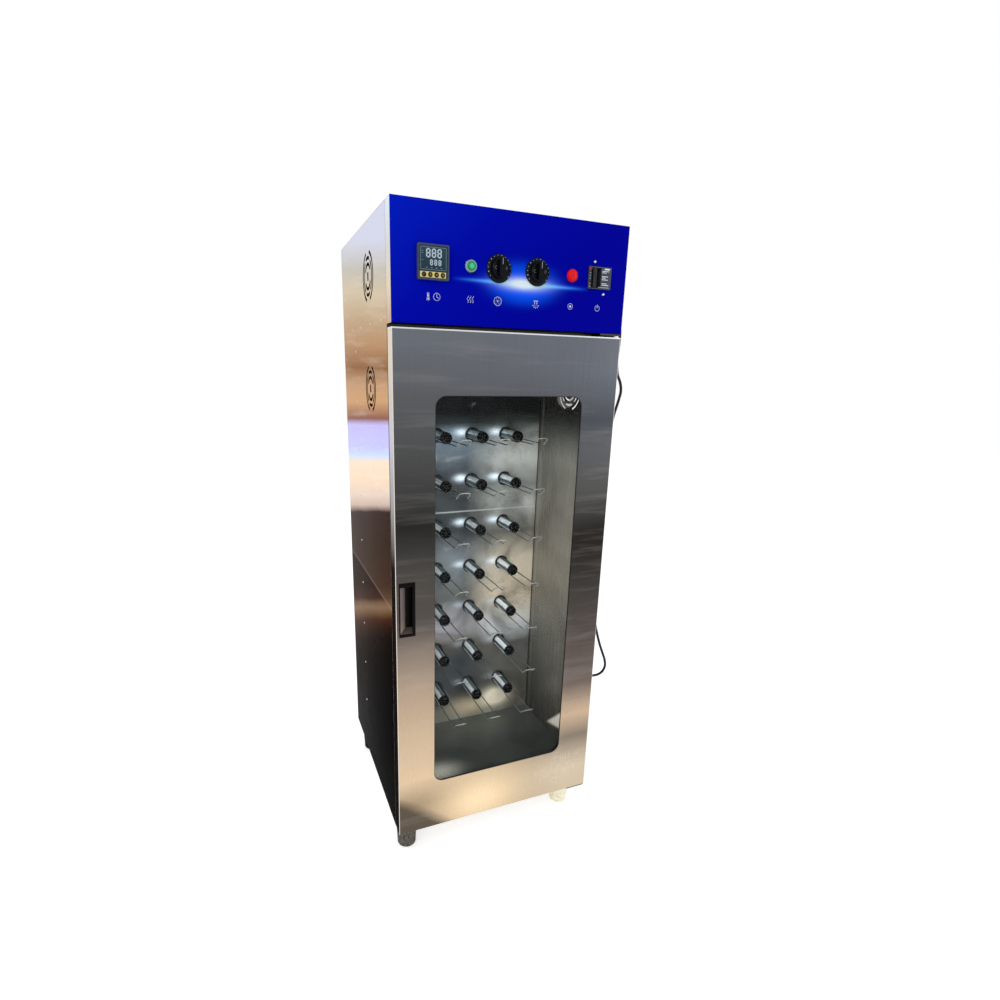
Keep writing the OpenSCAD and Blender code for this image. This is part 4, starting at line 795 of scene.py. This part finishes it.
def ink(name, color, rough=0.45, glow=0.0):
    look = Look(name, color, rough)
    thin = look.span(look.noise(300, detail=3), 0.35, 0.7, 0.0, 0.16)
    look.set("Base Color", look.mix(thin, color, tuple(c * 0.8 for c in color[:3]) + (1,)))
    if glow:
        look.set("Emission Color", color)
        look.set("Emission Strength", glow)
    return look


white_ink = ink("white_ink", rgb(226, 232, 244))
digit_ink = ink("digit_glow", rgb(172, 188, 198), 0.4, 0.12)
dim_ink = ink("dim_ink", rgb(132, 160, 176))
yellow_ink = ink("yellow_ink", rgb(222, 200, 116))
grey_ink = ink("grey_ink", rgb(150, 154, 158))
dot_ink = ink("dot_ink", rgb(168, 176, 190))
red_ink = ink("red_ink", rgb(196, 34, 40))


def header_marks():
    """A generic icon below each control."""
    m = Marks(0.0)
    z = ICON_Z
    # thermometer and clock below the controller
    x = CONTROLLER_X - 10
    m.ring(x, z - 5, 3.6, 1.1)
    m.disc(x, z - 5, 1.9)
    m.stroke([(x - 1.6, z - 1.6), (x - 1.6, z + 8)], 1.0)
    m.stroke([(x + 1.6, z - 1.6), (x + 1.6, z + 8)], 1.0)
    m.ring(x, z + 8, 1.6, 1.0, 0, 180)
    m.stroke([(x, z - 4), (x, z + 4)], 1.0)
    x = CONTROLLER_X + 10
    m.ring(x, z, 7.6, 1.1)
    m.stroke([(x, z + 5), (x, z), (x + 3.6, z - 2.2)], 1.0)
    # heat waves below the push button
    for x in (BUTTON_X - 6, BUTTON_X, BUTTON_X + 6):
        wave = [(x + 1.7 * math.sin(t * 0.7), z - 7 + t * 1.15) for t in range(13)]
        m.stroke(wave, 1.1)
    # fan below the first timer
    x = TIMERS_X[0]
    m.disc(x, z, 1.7)
    for blade in range(3):
        a = math.radians(90 + 120 * blade)
        m.ring(x + 4.6 * math.cos(a), z + 4.6 * math.sin(a), 3.1, 1.1)
    m.ring(x, z, 9.4, 1.0)
    # lamp with rays below the second timer
    x = TIMERS_X[1]
    m.stroke([(x - 3, z + 6), (x - 3, z - 1)], 1.1)
    m.stroke([(x + 3, z + 6), (x + 3, z - 1)], 1.1)
    m.ring(x, z - 1, 3.0, 1.1, 180, 360)
    m.stroke([(x - 5.5, z + 6.6), (x + 5.5, z + 6.6)], 1.1)
    for degrees in (200, 235, 270, 305, 340):
        c, s = math.cos(math.radians(degrees)), math.sin(math.radians(degrees))
        m.stroke([(x + 6 * c, z - 1 + 6 * s), (x + 9 * c, z - 1 + 9 * s)], 1.0)
    # live mark below the pilot lamp
    m.ring(PILOT_X, z, 6.4, 1.1)
    m.disc(PILOT_X, z, 2.6)
    # power symbol below the breaker
    m.ring(BREAKER_X, z, 6.4, 1.2, 125, 415)
    m.stroke([(BREAKER_X, z + 8), (BREAKER_X, z + 1)], 1.2)
    m.make("header_marks", white_ink, "cabinet")


def controller_marks():
    """Digits, small print and frame on the display, and a yellow strip round the keys."""
    cx, cz, y = CONTROLLER_X, CONTROL_Z, -7.1
    m = Marks(y)
    eights(m, 3, cx + 1, cz + 17.5, 15.5, 12.8, 2.8)
    eights(m, 3, cx + 5, cz - 1.0, 10.0, 9.6, 2.1)
    m.make("display_digits", digit_ink, "cabinet")

    m = Marks(y)
    for k in range(4):
        m.bar(cx - 15 + k * 11, cz - 11.5, 4.4, 0.9)
    for dz in (21, 17, 2.5):
        m.bar(cx - 25, cz + dz, 3.2, 0.8)
    for dz in (29, -15.4):
        m.stroke([(cx - 28, cz + dz), (cx + 28, cz + dz)], 0.6)
    for dx in (-29, 29):
        m.stroke([(cx + dx, cz - 15), (cx + dx, cz + 28.6)], 0.6)
    m.make("display_marks", dim_ink, "cabinet")

    # the strip goes round each key in an upper and a lower piece
    m = Marks(y)
    low, mid, high = cz - 31.4, cz - 25.5, cz - 19.6
    hole, flat, step = 5.4, 5.7, 14.4
    keys = [cx + (k - 1.5) * step for k in range(4)]
    edge = keys[0] - 9.0
    arc = [math.radians(180 - 15 * t) for t in range(13)]
    for kx in keys:
        end = kx + step / 2
        m.shape([(edge, mid), (edge, high), (end, high), (end, mid)]
                + [(kx + hole * math.cos(a), mid + min(hole * math.sin(a), flat))
                   for a in reversed(arc)])
        m.shape([(end, mid), (end, low), (edge, low), (edge, mid)]
                + [(kx + hole * math.cos(a), mid - min(hole * math.sin(a), flat)) for a in arc])
        edge = end
    m.make("key_strip", yellow_ink, "cabinet")

    signs = (None, [(1.4, -1.6), (-1.4, 0), (1.4, 1.6)], [(-1.6, 1.2), (0, -1.4), (1.6, 1.2)],
             [(-1.6, -1.2), (0, 1.4), (1.6, -1.2)])
    for number, (kx, sign) in enumerate(zip(keys, signs), 1):
        m = Marks(-8.3)
        if sign:
            m.stroke([(kx + dx, mid + dz) for dx, dz in sign], 0.6)
        else:
            m.ring(kx, mid, 1.5, 0.5)
        m.make("key_mark_%d" % number, yellow_ink, "controller_key_%d" % number)


def knob_marks(number, x):
    """Dots round the sloping skirt, a pointer on the grip and a glyph on each side of it."""
    body = "timer_knob_%d" % number
    dots, sweep, slope, ring_r, sides = 14, 252, math.radians(34), 27.6, 10
    points, faces = [], []
    for k in range(dots):
        a = math.radians(90 - sweep / 2 + k * sweep / (dots - 1))
        c, s = math.cos(a), math.sin(a)
        out = Vector((math.sin(slope) * c, -math.cos(slope), math.sin(slope) * s))
        u = Vector((-s, 0, c))
        v = out.cross(u)
        r = 1.25 if k % 3 == 0 else 0.85
        o = len(points)
        for lift in (-0.3, 0.22):
            for t in range(sides):
                turn = t * math.tau / sides
                p = Vector((c, 0, s)) * ring_r + out * lift
                p += (u * math.cos(turn) + v * math.sin(turn)) * r
                points.append(cab(x + p.x, p.y - 4.75, CONTROL_Z + p.z))
        faces.append([o + sides + t for t in range(sides)])
        for t in range(sides):
            after = (t + 1) % sides
            faces.append([o + t, o + after, o + sides + after, o + sides + t])
    mesh_piece("knob_dots_%d" % number, points, faces, dot_ink, body)

    m = Marks(-23.35, 0.35)
    m.bar(x, CONTROL_Z + 12.5, 1.3, 13.5)
    m.make("knob_pointer_%d" % number, dot_ink, body)
    m = Marks(-14.36, 0.2)
    m.ring(x + 12.5, CONTROL_Z, 3.2, 0.7)
    m.disc(x + 12.5, CONTROL_Z, 0.9, 12)
    m.ring(x - 12.5, CONTROL_Z, 3.2, 0.6, 60, 300)
    m.make("knob_glyph_%d" % number, grey_ink, body)


def breaker_marks():
    """Plain bars and blocks where the breaker has small print."""
    cx, cz, y = BREAKER_X, CONTROL_Z, -3.0
    m = Marks(y)
    for dz, w in ((16, 19), (12.6, 12), (4, 17), (0.8, 10), (-3.2, 17), (-12, 14), (-15.4, 20)):
        m.bar(cx + 6 + w / 2, cz + dz, w, 1.5)
    m.bar(cx + 20, cz + 20.8, 15, 3.4)
    m.make("breaker_print", white_ink, "cabinet")
    m = Marks(y)
    for dz in (-20, -14, -2, 4, 10):
        m.bar(cx - 27.6, cz + dz, 3.4, 2.6)
    m.bar(cx + 12, cz - 21, 30, 2.0)
    m.make("breaker_blocks", grey_ink, "cabinet")
    m = Marks(y)
    m.bar(cx - 27, cz + 19, 5.4, 4.4)
    m.make("breaker_red_mark", red_ink, "cabinet")


header_marks()
controller_marks()
for number, x in enumerate(TIMERS_X, 1):
    knob_marks(number, x)
breaker_marks()


# Floor, background and light

def light_path_mix(tree, seen, unseen):
    """Shader `seen` for camera, glossy and transmission rays, `unseen` for the rest."""
    path = tree.nodes.new("ShaderNodeLightPath")
    any_ray = path.outputs["Is Camera Ray"]
    for name in ("Is Glossy Ray", "Is Transmission Ray"):
        n = tree.nodes.new("ShaderNodeMath")
        n.operation = "MAXIMUM"
        tree.links.new(any_ray, n.inputs[0])
        tree.links.new(path.outputs[name], n.inputs[1])
        any_ray = n.outputs[0]
    mix = tree.nodes.new("ShaderNodeMixShader")
    for number, socket in enumerate((any_ray, unseen, seen)):
        tree.links.new(socket, mix.inputs[number])
    return mix.outputs[0]


def lit_node(tree, kind, color, strength):
    n = tree.nodes.new("ShaderNode" + kind)
    n.inputs[0].default_value, n.inputs[1].default_value = color, strength
    return n.outputs[0]


def make_world():
    world = bpy.data.worlds.new("world")
    scene.world = world
    world.use_nodes = True
    tree = world.node_tree
    tree.nodes.clear()
    seen = lit_node(tree, "Background", WHITE, 1.0)
    unseen = lit_node(tree, "Background", (0.93, 0.96, 1.0, 1), 0.75)
    out = tree.nodes.new("ShaderNodeOutputWorld")
    tree.links.new(light_path_mix(tree, seen, unseen), out.inputs[0])


def make_floor():
    """A pale floor that looks white and keeps the cabinet's shadow."""
    look = Look("floor", (0.93, 0.93, 0.93, 1), 0.7, Specular_IOR_Level=0.1)
    look.set("Base Color", look.mix(look.noise(2.0), (0.92, 0.92, 0.92, 1),
                                    (0.94, 0.94, 0.94, 1)))
    tree, plain = look.tree, look.shader.outputs[0]
    add = tree.nodes.new("ShaderNodeAddShader")
    tree.links.new(plain, add.inputs[0])
    tree.links.new(lit_node(tree, "Emission", WHITE, 0.5), add.inputs[1])
    surface = light_path_mix(tree, add.outputs[0], plain)
    tree.links.new(surface, tree.nodes["Material Output"].inputs[0])
    half, z = 14, -0.0004
    data = bpy.data.meshes.new("floor")
    corners = [(-half, -half, z), (half, -half, z), (half, half, z), (-half, half, z)]
    data.from_pydata(corners, [], [(0, 1, 2, 3)])
    floor = bpy.data.objects.new("floor", data)
    scene.collection.objects.link(floor)
    data.materials.append(look.material)


def area_light(name, at, to, size, power, color, soft=False):
    """A lamp at one point aimed at another; a soft one shows in no reflection."""
    data = bpy.data.lights.new(name, "AREA")
    data.shape, data.size, data.size_y = "RECTANGLE", size[0], size[1]
    data.energy, data.color = power, color
    lamp = bpy.data.objects.new(name, data)
    scene.collection.objects.link(lamp)
    lamp.location = at
    lamp.rotation_euler = (Vector(to) - Vector(at)).to_track_quat("-Z", "Y").to_euler()
    lamp.visible_glossy = not soft


make_world()
make_floor()
middle = (0, 0, 0.9)
area_light("key", (-3.2, -2.4, 3.0), middle, (2.0, 2.0), 40, (1.0, 0.97, 0.93))
area_light("fill", (2.8, -2.2, 1.6), middle, (1.6, 2.2), 14, (0.93, 0.96, 1.0))
chamber_z = 0.67 + FOOT
area_light("chamber", (0, -0.236, chamber_z), (0, 0.1, chamber_z), (0.39, 1.02), 6.0,
           (0.98, 0.99, 1.0), soft=True)

scene.view_settings.view_transform = "Standard"
